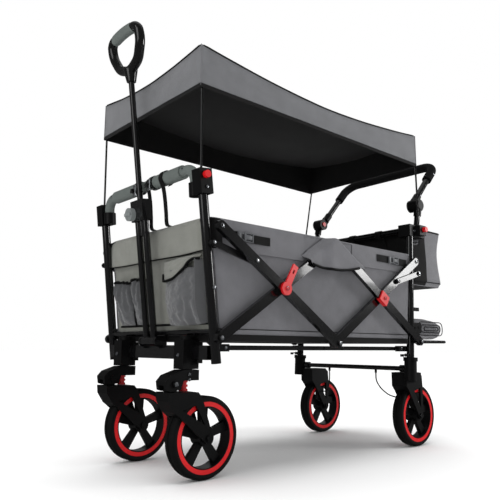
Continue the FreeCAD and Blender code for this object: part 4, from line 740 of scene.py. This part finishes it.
def arm_edge(x):
    """Height of the upper edge of the arms that lean together under the middle flap."""
    return ARM_CROSSING_Z + ARM_SLOPE * (ARM_CROSSING_X - abs(x)) + 0.0165


def wall_y(x, z, side, proud):
    free = math.sin(math.pi * (z - TUB_LOW) / (TUB_TOP - TUB_LOW))
    out = TUB_HALF + proud + ripple(x, side * TUB_HALF, z, 0.0035) * free - 0.002 * free
    return side * out


def side_band(name, side, start, end, low_at):
    def place(u, v):
        x = start + (end - start) * (u if side < 0 else 1 - u)
        low = low_at(x)
        z = low + (0.6310 - low) * v
        return Vector((x, wall_y(x, z, side, 0.0024 + 0.0012 * (1 - v)), z))

    band = cloth(name, 60, 10, place, end - start, 0.075, 0.0015, (cloth_grey,))
    return with_tub(band)


def middle_flap(name, side):
    def edge_point(u):
        x = -0.098 + 0.212 * u
        z = 0.5470 - 0.0115 * math.sin(math.pi * u ** 0.9) + 0.0100 * u ** 2
        return x, z

    def place(u, v):
        u = u if side < 0 else 1 - u
        low_x, low_z = edge_point(u)
        top_x = -0.114 + 0.290 * u
        top_z = min(arm_edge(top_x) + 0.024, 0.6315)
        climb = min(v / 0.92, 1.0)
        x, z = low_x + (top_x - low_x) * climb, low_z + (top_z - low_z) * climb
        over = arm_edge(x) - z
        fade = 0.022 + 0.030 * smooth_step((u - 0.55) / 0.45)
        layer = ARM_COVER_INNER + (ARM_COVER - ARM_COVER_INNER) * smooth_step((x + 0.060) / 0.040)
        cover = layer * smooth_step((over + fade) / fade) * (1 - smooth_step((u - 0.87) / 0.13))
        if v > 0.92:
            cover *= 1 - smooth_step((v - 0.92) / 0.08)
        wave = 0.0016 * math.sin(26 * x + 30 * z)
        return Vector((x, side * (TUB_HALF + 0.0030 + cover + wave * (cover > 0.01)), z))

    flap = cloth(name, 80, 34, place, 0.20, 0.09, 0.0018, (cloth_grey,))
    edge_line = [place(i / 50, 0.0) + Vector((0, side * 0.0010, -0.0008)) for i in range(51)]
    trim = cord_seam(name + "_piping", edge_line, 0.0038, piping_black)
    with_tub(flap)
    with_tub(trim)


def corner_patch(name, side):
    def place(u, v):
        along = -0.034 + 0.062 * (1 - u if side > 0 else u)
        z = 0.5560 + 0.0745 * v - 0.010 * math.sin(math.pi * v) * (along > 0)
        if along < 0:
            reach = along * (0.35 + 0.65 * v)
            return Vector((-(tub_end(z) + 0.0046), side * (TUB_HALF - 0.006 + reach), z))
        bend = smooth_step(along / 0.012)
        x = -(tub_end(z) + 0.0046) + 0.0046 * bend + along
        return Vector((x, side * (TUB_HALF - 0.006 + 0.0095 * bend), z))

    patch = cloth(name, 30, 12, place, 0.062, 0.075, 0.0016, (cloth_black,))
    return with_tub(patch)


for side, word in ((-1, "left"), (1, "right")):
    side_band(f"side_band_front_{word}", side, -0.398, -0.104, lambda x: BAND_SEAM)
    side_band(f"side_band_rear_{word}", side, 0.108, 0.398, lambda x: BAND_SEAM + 0.010)
    middle_flap(f"middle_flap_{word}", side)
    corner_patch(f"corner_patch_{word}", side)
print("sides done")

# %% [markdown]
# ## The canopy
# One cloth panel is cut with a skirt on each edge, and the skirts are sewn
# together at the corners. Four thin poles pull the corners up, so the top hangs
# lower between them. It is black inside, with a heavy black hem below.

# %% Canopy
CANOPY_X = (-0.4675, 0.4805)
CANOPY_Y = 0.2535
SKIRT_LOW, CORNER_TOP = 0.9595, 1.0705
LONG_SAG, SHORT_SAG, MIDDLE_LIFT = 0.0360, 0.0220, 0.0060
TOP_COLUMNS, TOP_ROWS, SKIRT_ROWS = 72, 40, 8


def canopy_top(s, t):
    """Height of the canopy's top at s along it and t across it, both from -1 to 1."""
    along = CORNER_TOP - LONG_SAG * (1 - abs(s) ** 1.7)
    across = CORNER_TOP - SHORT_SAG * (1 - abs(t) ** 1.7)
    return along + across - CORNER_TOP + MIDDLE_LIFT * (1 - s * s) * (1 - t * t)


def canopy_spot(s, t, drop, proud=0.0):
    """A point of the canopy: on its top, or down its skirt by a share of the skirt's height."""
    s, t = min(max(s, -1.0), 1.0), min(max(t, -1.0), 1.0)
    x = CANOPY_X[0] + (CANOPY_X[1] - CANOPY_X[0]) * (s + 1) / 2
    y = CANOPY_Y * t
    z = canopy_top(s, t)
    if drop > 0:
        z = z + (SKIRT_LOW - z) * drop
        ease = math.sin(math.pi * min(drop, 1)) * 0.0022
        middle = (1 - s * s) if abs(t) == 1 else (1 - t * t)
        out = proud + (ease + ripple(s * 0.6, t * 0.6, drop * 0.3, 0.0016)) * min(1, 3 * middle)
        if abs(t) == 1:
            y += out * t
        if abs(s) == 1:
            x += out * s
    else:
        z += ripple(x, y, 0.4, 0.0022) * (1 - s ** 4) * (1 - t ** 4)
    return Vector((x, y, z))


def canopy_point(u, v):
    column = u * (TOP_COLUMNS + 2 * SKIRT_ROWS) - SKIRT_ROWS
    row = v * (TOP_ROWS + 2 * SKIRT_ROWS) - SKIRT_ROWS
    drop = max(-column, column - TOP_COLUMNS, -row, row - TOP_ROWS, 0) / SKIRT_ROWS
    s = 2 * min(max(column, 0), TOP_COLUMNS) / TOP_COLUMNS - 1
    t = 2 * min(max(row, 0), TOP_ROWS) / TOP_ROWS - 1
    return canopy_spot(round(s, 6), round(t, 6), round(drop, 6))


CANOPY_LONG, CANOPY_WIDE = CANOPY_X[1] - CANOPY_X[0] + 0.22, 2 * CANOPY_Y + 0.22
canopy = cloth("canopy_cloth", TOP_COLUMNS + 2 * SKIRT_ROWS, TOP_ROWS + 2 * SKIRT_ROWS, canopy_point,
               CANOPY_LONG, CANOPY_WIDE, 0.0018, (cloth_canopy, cloth_black), closed=True)
with_canopy(canopy)
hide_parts("canopy")


def canopy_edge(drop, proud, steps=24):
    """Points round the canopy at a share of the skirt's height."""
    corners = [(-1, 1), (-1, -1), (1, -1), (1, 1), (-1, 1)]
    line = []
    for (s0, t0), (s1, t1) in zip(corners, corners[1:]):
        for i in range(steps):
            share = i / steps
            line.append(canopy_spot(s0 + (s1 - s0) * share, t0 + (t1 - t0) * share,
                                    max(drop, 1e-6), proud))
    return line


def canopy_band(name, low, high, proud, finish):
    """A strip of tape round the skirt, between two heights."""
    ring = canopy_edge(1.0, proud, 30)
    ring.append(ring[0])

    def place(u, v):
        at = u * (len(ring) - 1)
        i = min(int(at), len(ring) - 2)
        point = ring[i].lerp(ring[i + 1], at - i)
        return Vector((point.x, point.y, low + (high - low) * v))

    return with_canopy(cloth(name, 120, 2, place, 2.9, high - low, 0.0042, (finish,), closed=True))


canopy_hem = canopy_band("canopy_hem", 0.9570, 0.9668, 0.0016, cloth_black)
top_piping = with_canopy(cord_seam("canopy_top_piping", canopy_edge(0.0, 0.0008), 0.0021, piping_black,
                                   closed=True))
seams = []
for s, t in ((-1, -1), (-1, 1), (1, -1), (1, 1)):
    line = [canopy_spot(s, t, i / 8) + Vector((0.0006 * s, 0.0006 * t, 0)) for i in range(9)]
    seams.append(cord_seam("seam", line, 0.0011, cloth_roll))
corner_seams = with_canopy(join("canopy_corner_seams", seams))
print("canopy", len(canopy.data.polygons), "faces")

# %% [markdown]
# ## The rear bag
# A storage bag hangs behind the rear bar between the push handle's blocks. Its
# wall is one loft that is a little hollow at mid height and rounder at its foot,
# with a black front and black bound edges.

# %% Rear bag
BAG_MIDDLE_X, BAG_HALF_X, BAG_HALF_Y = 0.5600, 0.0965, 0.2335
BAG_LOW, BAG_TOP = 0.5370, 0.7360
BLOCK_CLEAR_X, BLOCK_CLEAR_Y = 0.5180, 0.2080


def bag_point(t, v, proud=0.0):
    z = BAG_LOW + (BAG_TOP - BAG_LOW) * v
    x, y, across, away = ring_point(t, BAG_HALF_X, BAG_HALF_Y, 0.016)
    hollow = 0.0075 * math.sin(math.pi * v)
    foot = 0.010 * (1 - smooth_step(v / 0.10))
    middle = 1 - (y / BAG_HALF_Y) ** 2 if abs(x) >= BAG_HALF_X - 0.017 else 1 - (x / BAG_HALF_X) ** 2
    back_hollow = 0.010 * math.sin(math.pi * v) ** 1.5 * max(x, 0) / BAG_HALF_X
    swell = 0.006 * max(middle, 0) * math.sin(math.pi * min(1.2 * v, 1))
    out = proud - hollow - foot + swell + ripple(x + 2, y, z, 0.0045) * math.sin(math.pi * v) ** 0.5
    x, y = x + across * out - back_hollow, y + away * out
    x += BAG_MIDDLE_X
    near_block = smooth_step((BLOCK_CLEAR_X - x) / 0.016) * smooth_step((z - 0.672) / 0.022)
    limit = BAG_HALF_Y + 0.01 - (BAG_HALF_Y + 0.01 - BLOCK_CLEAR_Y) * near_block
    y = math.copysign(min(abs(y), limit), y)
    return Vector((x, y, z))


BAG_ROUND = 4 * (BAG_HALF_X + BAG_HALF_Y)
bag = cloth("rear_bag_wall", 150, 34, bag_point, BAG_ROUND, BAG_TOP - BAG_LOW, 0.0030,
            (cloth_grey, cloth_black), closed=True)
on_rear_frame(bag)
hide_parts("rear_bag")


def bag_floor_point(u, v):
    x = BAG_MIDDLE_X + (BAG_HALF_X - 0.013) * (2 * u - 1)
    y = (BAG_HALF_Y - 0.013) * (2 * v - 1)
    sag = 0.0008 + 0.0006 * math.sin(math.pi * u) * math.sin(math.pi * v)
    return Vector((x, y, BAG_LOW + 0.0018 + sag))


bag_floor = cloth("rear_bag_floor", 20, 40, bag_floor_point, 0.17, 0.44, 0.0024, (cloth_grey, cloth_black))
on_rear_frame(bag_floor)
bag_rim = cord_seam("rear_bag_rim", [bag_point(i / 90, 1.0) for i in range(90)], 0.0028, piping_black,
                    closed=True)
on_rear_frame(bag_rim)
BAG_FRONT_REACH = 0.2430


def bag_front_point(u, v):
    start, end = 0.5 - BAG_FRONT_REACH, 0.5 + BAG_FRONT_REACH
    return bag_point(start + (end - start) * u, 0.01 + 0.98 * v, 0.0014)


bag_front = cloth("rear_bag_front", 70, 24, bag_front_point, 0.60, 0.20, 0.0012, (cloth_black,))
on_rear_frame(bag_front)
foot_seam = cord_seam("rear_bag_foot_seam", [bag_point(i / 90, 0.07, 0.0012) for i in range(90)], 0.0016,
                      piping_black, closed=True)
on_rear_frame(foot_seam)
print("rear bag", len(bag.data.polygons), "faces")

# %% [markdown]
# ## The rolled footwell
# The padded footwell is rolled up behind the rear legs. Real padding swells
# between its ties, so the roll is blown up a little with a cloth simulation:
# remesh, light pressure without gravity, then a cap on how far a point may move.


# %% Padding tool
def puff(piece, voxel, pressure, cap):
    """Swells a closed piece like stuffed cloth. Each point moves at most the cap."""
    apply_modifier(piece, "REMESH", mode="VOXEL", voxel_size=voxel)
    start = [point.co.copy() for point in piece.data.vertices]
    pick(piece)
    stuffing = piece.modifiers.new("stuffing", "CLOTH")
    stuffing.settings.use_pressure = True
    stuffing.settings.uniform_pressure_force = pressure
    stuffing.settings.effector_weights.gravity = 0
    stuffing.settings.quality = 4
    stuffing.point_cache.frame_start, stuffing.point_cache.frame_end = 1, 20
    for step in range(1, 21):
        bpy.context.scene.frame_set(step)
    bpy.ops.object.modifier_apply(modifier="stuffing")
    bpy.context.scene.frame_set(1)
    for point, was in zip(piece.data.vertices, start):
        moved = point.co - was
        if moved.length > cap:
            point.co = was + moved * (cap / moved.length)
    apply_modifier(piece, "SMOOTH", factor=0.5, iterations=4)
    soften(piece, 80)
    return piece


# %% Footwell roll
ROLL_LOW, ROLL_HIGH = Vector((0.4870, -0.2240, 0.3565)), Vector((0.6660, 0.2240, 0.4180))
deselect_all()
middle = (ROLL_LOW + ROLL_HIGH) / 2
bpy.ops.mesh.primitive_cube_add(size=1, location=middle, scale=ROLL_HIGH - ROLL_LOW)
roll = bpy.context.active_object
roll.name = "footwell_roll"
settle(roll)
apply_modifier(roll, "BEVEL", width=0.022, segments=5, limit_method="ANGLE")
edit(roll, lambda: bpy.ops.mesh.subdivide(number_cuts=6))
for point in roll.data.vertices:
    x, y, z = point.co
    tie = math.exp(-((abs(y) - 0.115) / 0.020) ** 2)
    back = smooth_step((x - 0.56) / 0.10)
    pinch = 1 - 0.12 * tie
    point.co.z = middle.z + (z - middle.z) * pinch - 0.006 * back * (z > middle.z)
    point.co.x = middle.x + (x - middle.x) * (1 - 0.05 * tie)
puff(roll, 0.006, 4.0, 0.006)
dress(roll, cloth_roll)
on_rear_frame(roll)
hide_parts("footwell")
print("footwell roll", len(roll.data.polygons), "faces")


# %% Bands round the roll
def band_round_roll(name, y, width):
    """A webbing loop round the roll at one place across the wagon."""
    def place(u, v):
        x, z, across, away = ring_point(u, (ROLL_HIGH.x - ROLL_LOW.x) / 2 * 0.965,
                                        (ROLL_HIGH.z - ROLL_LOW.z) / 2 * 0.94, 0.024)
        back = smooth_step((middle.x + x - 0.56) / 0.10)
        z -= 0.006 * back * (z > 0)
        return Vector((middle.x + x + across * 0.003, y - width / 2 + width * v,
                       middle.z + z + away * 0.003))

    loop = cloth(name, 60, 2, place, 0.44, width, 0.0014, (webbing_black,), closed=True)
    turn_outwards(loop)
    on_rear_frame(loop)


for side, word in ((-1, "left"), (1, "right")):
    band_round_roll(f"roll_strap_{word}", side * 0.115, 0.025)
    ends = []
    for turns in range(3):
        inset = 0.012 + 0.016 * turns
        half_x = (ROLL_HIGH.x - ROLL_LOW.x) / 2 - inset
        half_z = (ROLL_HIGH.z - ROLL_LOW.z) / 2 - inset * 0.62
        line = []
        for i in range(40):
            x, z, _, _ = ring_point(i / 40, half_x, max(half_z, 0.006), min(0.018, max(half_z, 0.006) * 0.9))
            line.append((middle.x + x, side * (0.2238 + 0.0012 * turns), middle.z + z))
        ends.append(cord_seam("fold_line", line, 0.0016, piping_black, closed=True, sides=2))
    on_rear_frame(join(f"roll_end_folds_{word}", ends))

# %% [markdown]
# ## Webbing and buckles
# Side-release buckles hold the upper band to the corners. Webbing is nylon with
# cross ribs. Two straps run from the hand bar down into the tub, and three loops
# hang the bag from the rear bar.


# %% Webbing tool
def along_path(points, share):
    """A smooth point along a list of points, share from 0 to 1."""
    at = share * (len(points) - 1)
    i = min(int(at), len(points) - 2)
    f = at - i
    p0, p1 = points[max(i - 1, 0)], points[i]
    p2, p3 = points[i + 1], points[min(i + 2, len(points) - 1)]
    return 0.5 * ((2 * p1) + (p2 - p0) * f + (2 * p0 - 5 * p1 + 4 * p2 - p3) * f * f
                  + (3 * p1 - p0 - 3 * p2 + p3) * f ** 3)


def webbing(name, points, width, across, thickness=0.0016, closed=False):
    points = [Vector(point) for point in points]
    across = Vector(across).normalized()
    if closed:
        points.append(points[0])
    long = sum((b - a).length for a, b in zip(points, points[1:]))

    def place(u, v):
        return along_path(points, u) + across * ((v - 0.5) * width)

    strap = cloth(name, 12 * (len(points) - 1), 3, place, long, width, thickness, (webbing_black,),
                  closed=closed, offset=0.0)
    turn_outwards(strap)
    return strap, long


def round_bar(x, y, z, radius, degrees):
    """Points round a bar that lies across the wagon, at these angles."""
    return [(x + radius * math.cos(a), y, z + radius * math.sin(a)) for a in map(math.radians, degrees)]


# %% Straps from the hand bar into the tub
HAND_BAR_R, FOAM_R = 0.0140, 0.0180
bar_low, bar_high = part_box("front_top_bar")
HAND_BAR_X, HAND_BAR_Z = bar_low.x + HAND_BAR_R, bar_high.z - HAND_BAR_R
for number, top_y, low_y, around in ((1, -0.024, 0.010, HAND_BAR_R), (2, -0.094, -0.068, FOAM_R)):
    wrap = round_bar(HAND_BAR_X, top_y, HAND_BAR_Z, around + 0.0022, (300, 340, 20, 60, 100, 140, 180, 215))
    fall = [(-0.4655, 0.0, 0.732), (-0.4560, 0.2, 0.705), (-0.4460, 0.5, 0.670), (-0.4370, 0.8, 0.640),
            (-0.4230, 0.9, 0.635), (-0.4150, 0.95, 0.622), (-0.4100, 1.0, 0.590)]
    fall = [(x, top_y + (low_y - top_y) * share, z) for x, share, z in fall]
    strap, long = webbing(f"hand_bar_strap_{number}", wrap + fall, 0.016, (0, 1, 0))
    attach(strap, "front_frame")

# %% Loops on the rear bar
REAR_BAR_X, REAR_BAR_Z, REAR_BAR_R = 0.437, 0.722, 0.0110
for number, y in enumerate((-0.118, 0.0, 0.118), 1):
    wrap = round_bar(REAR_BAR_X, y, REAR_BAR_Z, REAR_BAR_R + 0.0020,
                     (330, 20, 60, 100, 140, 180, 220, 260, 295))
    tail = [(0.4540, y, 0.7030), (0.4600, y, 0.6860), (0.4605, y, 0.6600)]
    strap, long = webbing(f"rear_bar_loop_{number}", wrap + tail, 0.024, (0, 1, 0))
    on_rear_frame(strap)


# %% The side-release buckle
def rounded_block(name, size, place, bevel, finish):
    deselect_all()
    bpy.ops.mesh.primitive_cube_add(size=1, location=place, scale=size)
    block = bpy.context.active_object
    block.name = name
    settle(block)
    apply_modifier(block, "BEVEL", width=bevel, segments=3, limit_method="NONE")
    dress(block, finish)
    soften(block, 40)
    return block


def buckle(name, x, z, side):
    """Female body with two side windows, male tongue with two prongs, on the band's outside."""
    y = side * (TUB_HALF + 0.0085)
    bars = (("body_top", (0.026, 0.0070, 0.0030), 0.0, 0.0105, 0.0012),
            ("body_low", (0.026, 0.0070, 0.0030), 0.0, -0.0105, 0.0012),
            ("body_face", (0.022, 0.0075, 0.0130), 0.001, 0.0, 0.0020),
            ("mouth", (0.006, 0.0078, 0.0245), -0.0115, 0.0, 0.0018),
            ("bar", (0.004, 0.0060, 0.0250), 0.0150, 0.0, 0.0012),
            ("prong_top", (0.015, 0.0050, 0.0040), -0.0200, 0.0085, 0.0014),
            ("prong_low", (0.015, 0.0050, 0.0040), -0.0200, -0.0085, 0.0014),
            ("tongue", (0.010, 0.0060, 0.0245), -0.0290, 0.0, 0.0018))
    # The grey of these parts is painted sheen on black acetal.
    parts = [rounded_block(part, block, (x + along, y, z + above), rounding, buckle_painted_gloss)
             for part, block, along, above, rounding in bars]
    return with_tub(join(name, parts))


def side_webbing(name, start, end, z, side, proud=0.0052):
    points = [(start + (end - start) * i / 4, side * (TUB_HALF + proud + 0.0008 * math.sin(i * 1.7)), z)
              for i in range(5)]
    strap, long = webbing(name, points, 0.022, (0, 0, 1))
    with_tub(strap)


for side, word in ((-1, "left"), (1, "right")):
    buckle(f"front_buckle_{word}", -0.3150, 0.5930, side)
    side_webbing(f"front_webbing_{word}", -0.3960, -0.3360, 0.5950, side)
    side_webbing(f"front_webbing_tail_{word}", -0.3020, -0.2360, 0.5920, side)
    buckle(f"rear_buckle_{word}", 0.3200, 0.6000, side)
    side_webbing(f"rear_webbing_{word}", 0.2280, 0.2980, 0.6010, side)
    side_webbing(f"rear_webbing_tail_{word}", 0.3340, 0.3860, 0.5990, side)
print("webbing and buckles done")

# %% [markdown]
# ## Screws and rivets
# Bright zinc-plated heads hold the pivots and blocks. A head is turned once: a
# short cylinder, its rim rounded, its top sunk for the key. A ray finds the face
# that each one stands on, and tells which part it belongs to.


# %% One screw head
def screw_head(name, radius, height):
    deselect_all()
    bpy.ops.mesh.primitive_cylinder_add(vertices=20, radius=radius, depth=height, location=(0, 0, height / 2))
    head = bpy.context.active_object
    head.name = name
    settle(head)
    bpy.ops.object.mode_set(mode="EDIT")
    bpy.ops.mesh.select_all(action="DESELECT")
    bpy.ops.object.mode_set(mode="OBJECT")
    for face in head.data.polygons:
        face.select = face.normal.z > 0.9
    bpy.ops.object.mode_set(mode="EDIT")
    bpy.ops.mesh.bevel(offset=height * 0.42, segments=3, affect="EDGES")
    bpy.ops.object.mode_set(mode="OBJECT")
    for face in head.data.polygons:
        face.select = face.normal.z > 0.99 and face.center.z > height * 0.98
    bpy.ops.object.mode_set(mode="EDIT")
    bpy.ops.mesh.inset(thickness=radius * 0.16)
    bpy.ops.mesh.extrude_region_move(TRANSFORM_OT_translate={"value": (0, 0, -height * 0.45)})
    bpy.ops.object.mode_set(mode="OBJECT")
    dress(head, zinc_bright)
    soften(head, 35)
    return head


def placed_copy(source, point, direction):
    """A copy of a piece, with its own mesh, turned from +z to the direction and moved to the point."""
    made = source.copy()
    made.data = source.data.copy()
    turn = Vector((0, 0, 1)).rotation_difference(Vector(direction)).to_matrix().to_4x4()
    made.data.transform(Matrix.Translation(point) @ turn)
    bpy.context.scene.collection.objects.link(made)
    return made


# %% Where the heads go
FRONT_LEAN, REAR_LEAN, LEAN_FROM = 0.1214, 0.0557, 0.346


def front_post_x(z):
    return FRONT_POST_X - FRONT_LEAN * (z - LEAN_FROM)


def rear_post_x(z):
    return REAR_POST_X + REAR_LEAN * (z - LEAN_FROM)


SIDE_SPOTS = [(front_post_x(0.341), 0.341, 5.5), (rear_post_x(0.341), 0.341, 5.5), (0.0, 0.332, 6.0),
              (-0.422, 0.606, 6.0), (0.422, 0.606, 6.0), (front_post_x(0.565), 0.565, 5.0),
              (rear_post_x(0.565), 0.565, 5.0), (-0.3088, 0.5326, 5.5), (0.3046, 0.5299, 5.5),
              (-0.2114, 0.4695, 5.5), (0.2114, 0.4695, 5.0), (front_post_x(0.459), 0.459, 5.0),
              (-0.367, 0.100, 7.0), (0.475, 0.100, 7.0), (front_post_x(0.700), 0.700, 4.5),
              (0.437, 0.716, 5.0), (-0.465, 0.232, 6.0), (-0.425, 0.254, 4.0), (-0.425, 0.241, 4.0),
              (0.555, 0.872, 4.5), (0.640, 0.968, 4.5), (-0.367, 0.318, 4.5), (0.367, 0.318, 4.5)]
FRONT_SPOTS = [(0.153, 0.300, 5.0), (-0.153, 0.300, 5.0), (0.185, 0.759, 4.0), (-0.185, 0.759, 4.0)]
view = bpy.context.evaluated_depsgraph_get()
heads = {}
head_sources = {}


def face_at(start, direction):
    found, place, _, _, thing, _ = bpy.context.scene.ray_cast(view, start, direction, distance=0.6)
    while found and "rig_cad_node" not in thing:
        found, place, _, _, thing, _ = bpy.context.scene.ray_cast(
            view, place + direction * 0.0002, direction, distance=0.6)
    return (place, thing) if found else (None, None)


def set_head(start, direction, size_mm):
    place, thing = face_at(start, direction)
    if thing is None:
        print("no face at", tuple(start))
        return
    beside = size_mm * MM + 0.0012
    aside = Vector((beside, 0, 0)) if abs(direction.x) < 0.5 else Vector((0, 0, beside))
    near, _ = face_at(start + aside, direction)
    depth = (near - place).dot(direction) if near is not None else 1.0
    sunk = depth if 0.0005 < depth < 0.0045 else 0.0
    if size_mm not in head_sources:
        head_sources[size_mm] = screw_head("head_source", size_mm * MM, 0.0038 if sunk else 0.0034)
    foot = place + direction * min(sunk, 0.0029)
    heads.setdefault(thing["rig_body"], []).append(placed_copy(head_sources[size_mm], foot, -direction))


for side in (-1, 1):
    for x, z, size_mm in SIDE_SPOTS:
        set_head(Vector((x, side * 0.42, z)), Vector((0, -side, 0)), size_mm)
for y, z, size_mm in FRONT_SPOTS:
    set_head(Vector((-0.62, y, z)), Vector((1, 0, 0)), size_mm)
for body, copies in heads.items():
    group = join("screws_" + body, copies)
    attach(group, body)
    print("screws on", body, len(copies))
for source in head_sources.values():
    bpy.data.objects.remove(source)

# %% [markdown]
# ## Handles
# The pull handle's loop carries a soft grey insert on its top bar. Two bright
# clips hold the hand bar beside the pull handle.

# %% Insert and clips
PULL_SLOPE, PULL_FOOT_X, PULL_FOOT_Z, NECK_Z = 0.129, -0.429, 0.333, 1.050
INSERT_HALF, INSERT_UP, INSERT_DROP = 0.0535, 0.1165, 0.0045
PULL_LEAN = math.atan(PULL_SLOPE)
PULL_UP = Vector((-math.sin(PULL_LEAN), 0, math.cos(PULL_LEAN)))
PULL_BACK = Vector((math.cos(PULL_LEAN), 0, math.sin(PULL_LEAN)))
NECK = Vector((PULL_FOOT_X - PULL_SLOPE * (NECK_Z - PULL_FOOT_Z), 0, NECK_Z)) + PULL_UP * 0.014


def loop_spot(across, up):
    return NECK + PULL_UP * up - PULL_BACK * (0.10 * up) + Vector((0, across, 0))


insert_line = [loop_spot(INSERT_HALF * k / 8, INSERT_UP - INSERT_DROP * (k / 8) ** 2)
               for k in range(-8, 9)]
insert = cord_seam("pull_grip_insert", insert_line, 0.0149, grip_grey, sides=8)
for point in insert.data.vertices:
    reach = abs(point.co.y) / INSERT_HALF
    line = loop_spot(point.co.y, INSERT_UP - INSERT_DROP * reach ** 2)
    swell = 1.0 - 0.13 * smooth_step((reach - 0.80) / 0.20)
    point.co = line + (point.co - line) * swell
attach(insert, "pull_upper")

clips = []
for y in (-0.038, 0.038):
    ring = [(HAND_BAR_X + 0.0188 * math.cos(a), y, HAND_BAR_Z + 0.0188 * math.sin(a))
            for a in [2 * math.pi * i / 24 for i in range(24)]]
    strip, _ = webbing("clip", ring, 0.0125, (0, 1, 0), 0.0016, closed=True)
    dress(strip, zinc_bright)
    soften(strip, 30)
    clips.append(strip)
    ear_place = (HAND_BAR_X - 0.0195, y, HAND_BAR_Z - 0.010)
    clips.append(rounded_block("clip_ear", (0.0040, 0.0125, 0.0320), ear_place, 0.0012, zinc_bright))
bar_clips = join("hand_bar_clips", clips)
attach(bar_clips, "front_frame")
print("insert and clips done")

# %% [markdown]
# ## Floor and light
# A pale floor under white light. The world looks white to the camera and is
# dimmer as a light, so that gloss black tubes stay black between the softboxes.

# %% Stage
deselect_all()
bpy.ops.mesh.primitive_plane_add(size=60, location=(0, 0, -0.0005))
floor = bpy.context.active_object
floor.name = "studio_floor"
floor_finish, _, floor_shader = new_finish("studio_floor_pale")
floor_shader.inputs["Base Color"].default_value = (0.97, 0.97, 0.97, 1)
floor_shader.inputs["Roughness"].default_value = 0.7
floor_shader.inputs["Specular IOR Level"].default_value = 0.15
dress(floor, floor_finish)
floor.visible_glossy = False

world = bpy.data.worlds.new("studio_white")
world.use_nodes = True
world.node_tree.nodes.clear()
seen, mirrored, lit = [
    add_node(world.node_tree, "ShaderNodeBackground", None, {"Color": (1, 1, 1, 1), "Strength": strength})
    for strength in (1.0, 0.10, 0.62)]
path = add_node(world.node_tree, "ShaderNodeLightPath")
dim = add_node(world.node_tree, "ShaderNodeMixShader", None, {"Fac": (path, "Is Glossy Ray")})
world.node_tree.links.new(lit.outputs[0], dim.inputs[1])
world.node_tree.links.new(mirrored.outputs[0], dim.inputs[2])
both = add_node(world.node_tree, "ShaderNodeMixShader", None, {"Fac": (path, "Is Camera Ray")})
world.node_tree.links.new(dim.outputs[0], both.inputs[1])
world.node_tree.links.new(seen.outputs[0], both.inputs[2])
add_node(world.node_tree, "ShaderNodeOutputWorld", None, {"Surface": (both, "Shader")})
bpy.context.scene.world = world


def softbox(name, place, target, size, power):
    data = bpy.data.lights.new(name, "AREA")
    data.shape = "RECTANGLE"
    data.size, data.size_y = size
    data.energy = power
    lamp = bpy.data.objects.new(name, data)
    lamp.location = place
    lamp.rotation_euler = (Vector(target) - Vector(place)).to_track_quat("-Z", "Y").to_euler()
    bpy.context.scene.collection.objects.link(lamp)


def broad_sun(name, strength, angle):
    """Even light from straight above, so that the floor is as pale far away as near."""
    data = bpy.data.lights.new(name, "SUN")
    data.energy = strength
    data.angle = math.radians(angle)
    lamp = bpy.data.objects.new(name, data)
    lamp.visible_glossy = False
    bpy.context.scene.collection.objects.link(lamp)


broad_sun("overhead_light", 1.75, 50)
softbox("softbox_top", (0.2, 0.0, 3.6), (0, 0, 0.4), (3.4, 3.0), 10)
softbox("softbox_side", (3.05, -2.4, 1.40), (3.05, 0, 1.40), (1.9, 1.0), 52)
softbox("softbox_front", (-3.2, -0.6, 1.6), (0, 0, 0.5), (1.6, 2.0), 16)
softbox("softbox_back", (1.8, 2.8, 2.2), (0, 0, 0.6), (2.0, 1.6), 8)
bpy.context.scene.view_settings.view_transform = "Standard"
print("stage set")
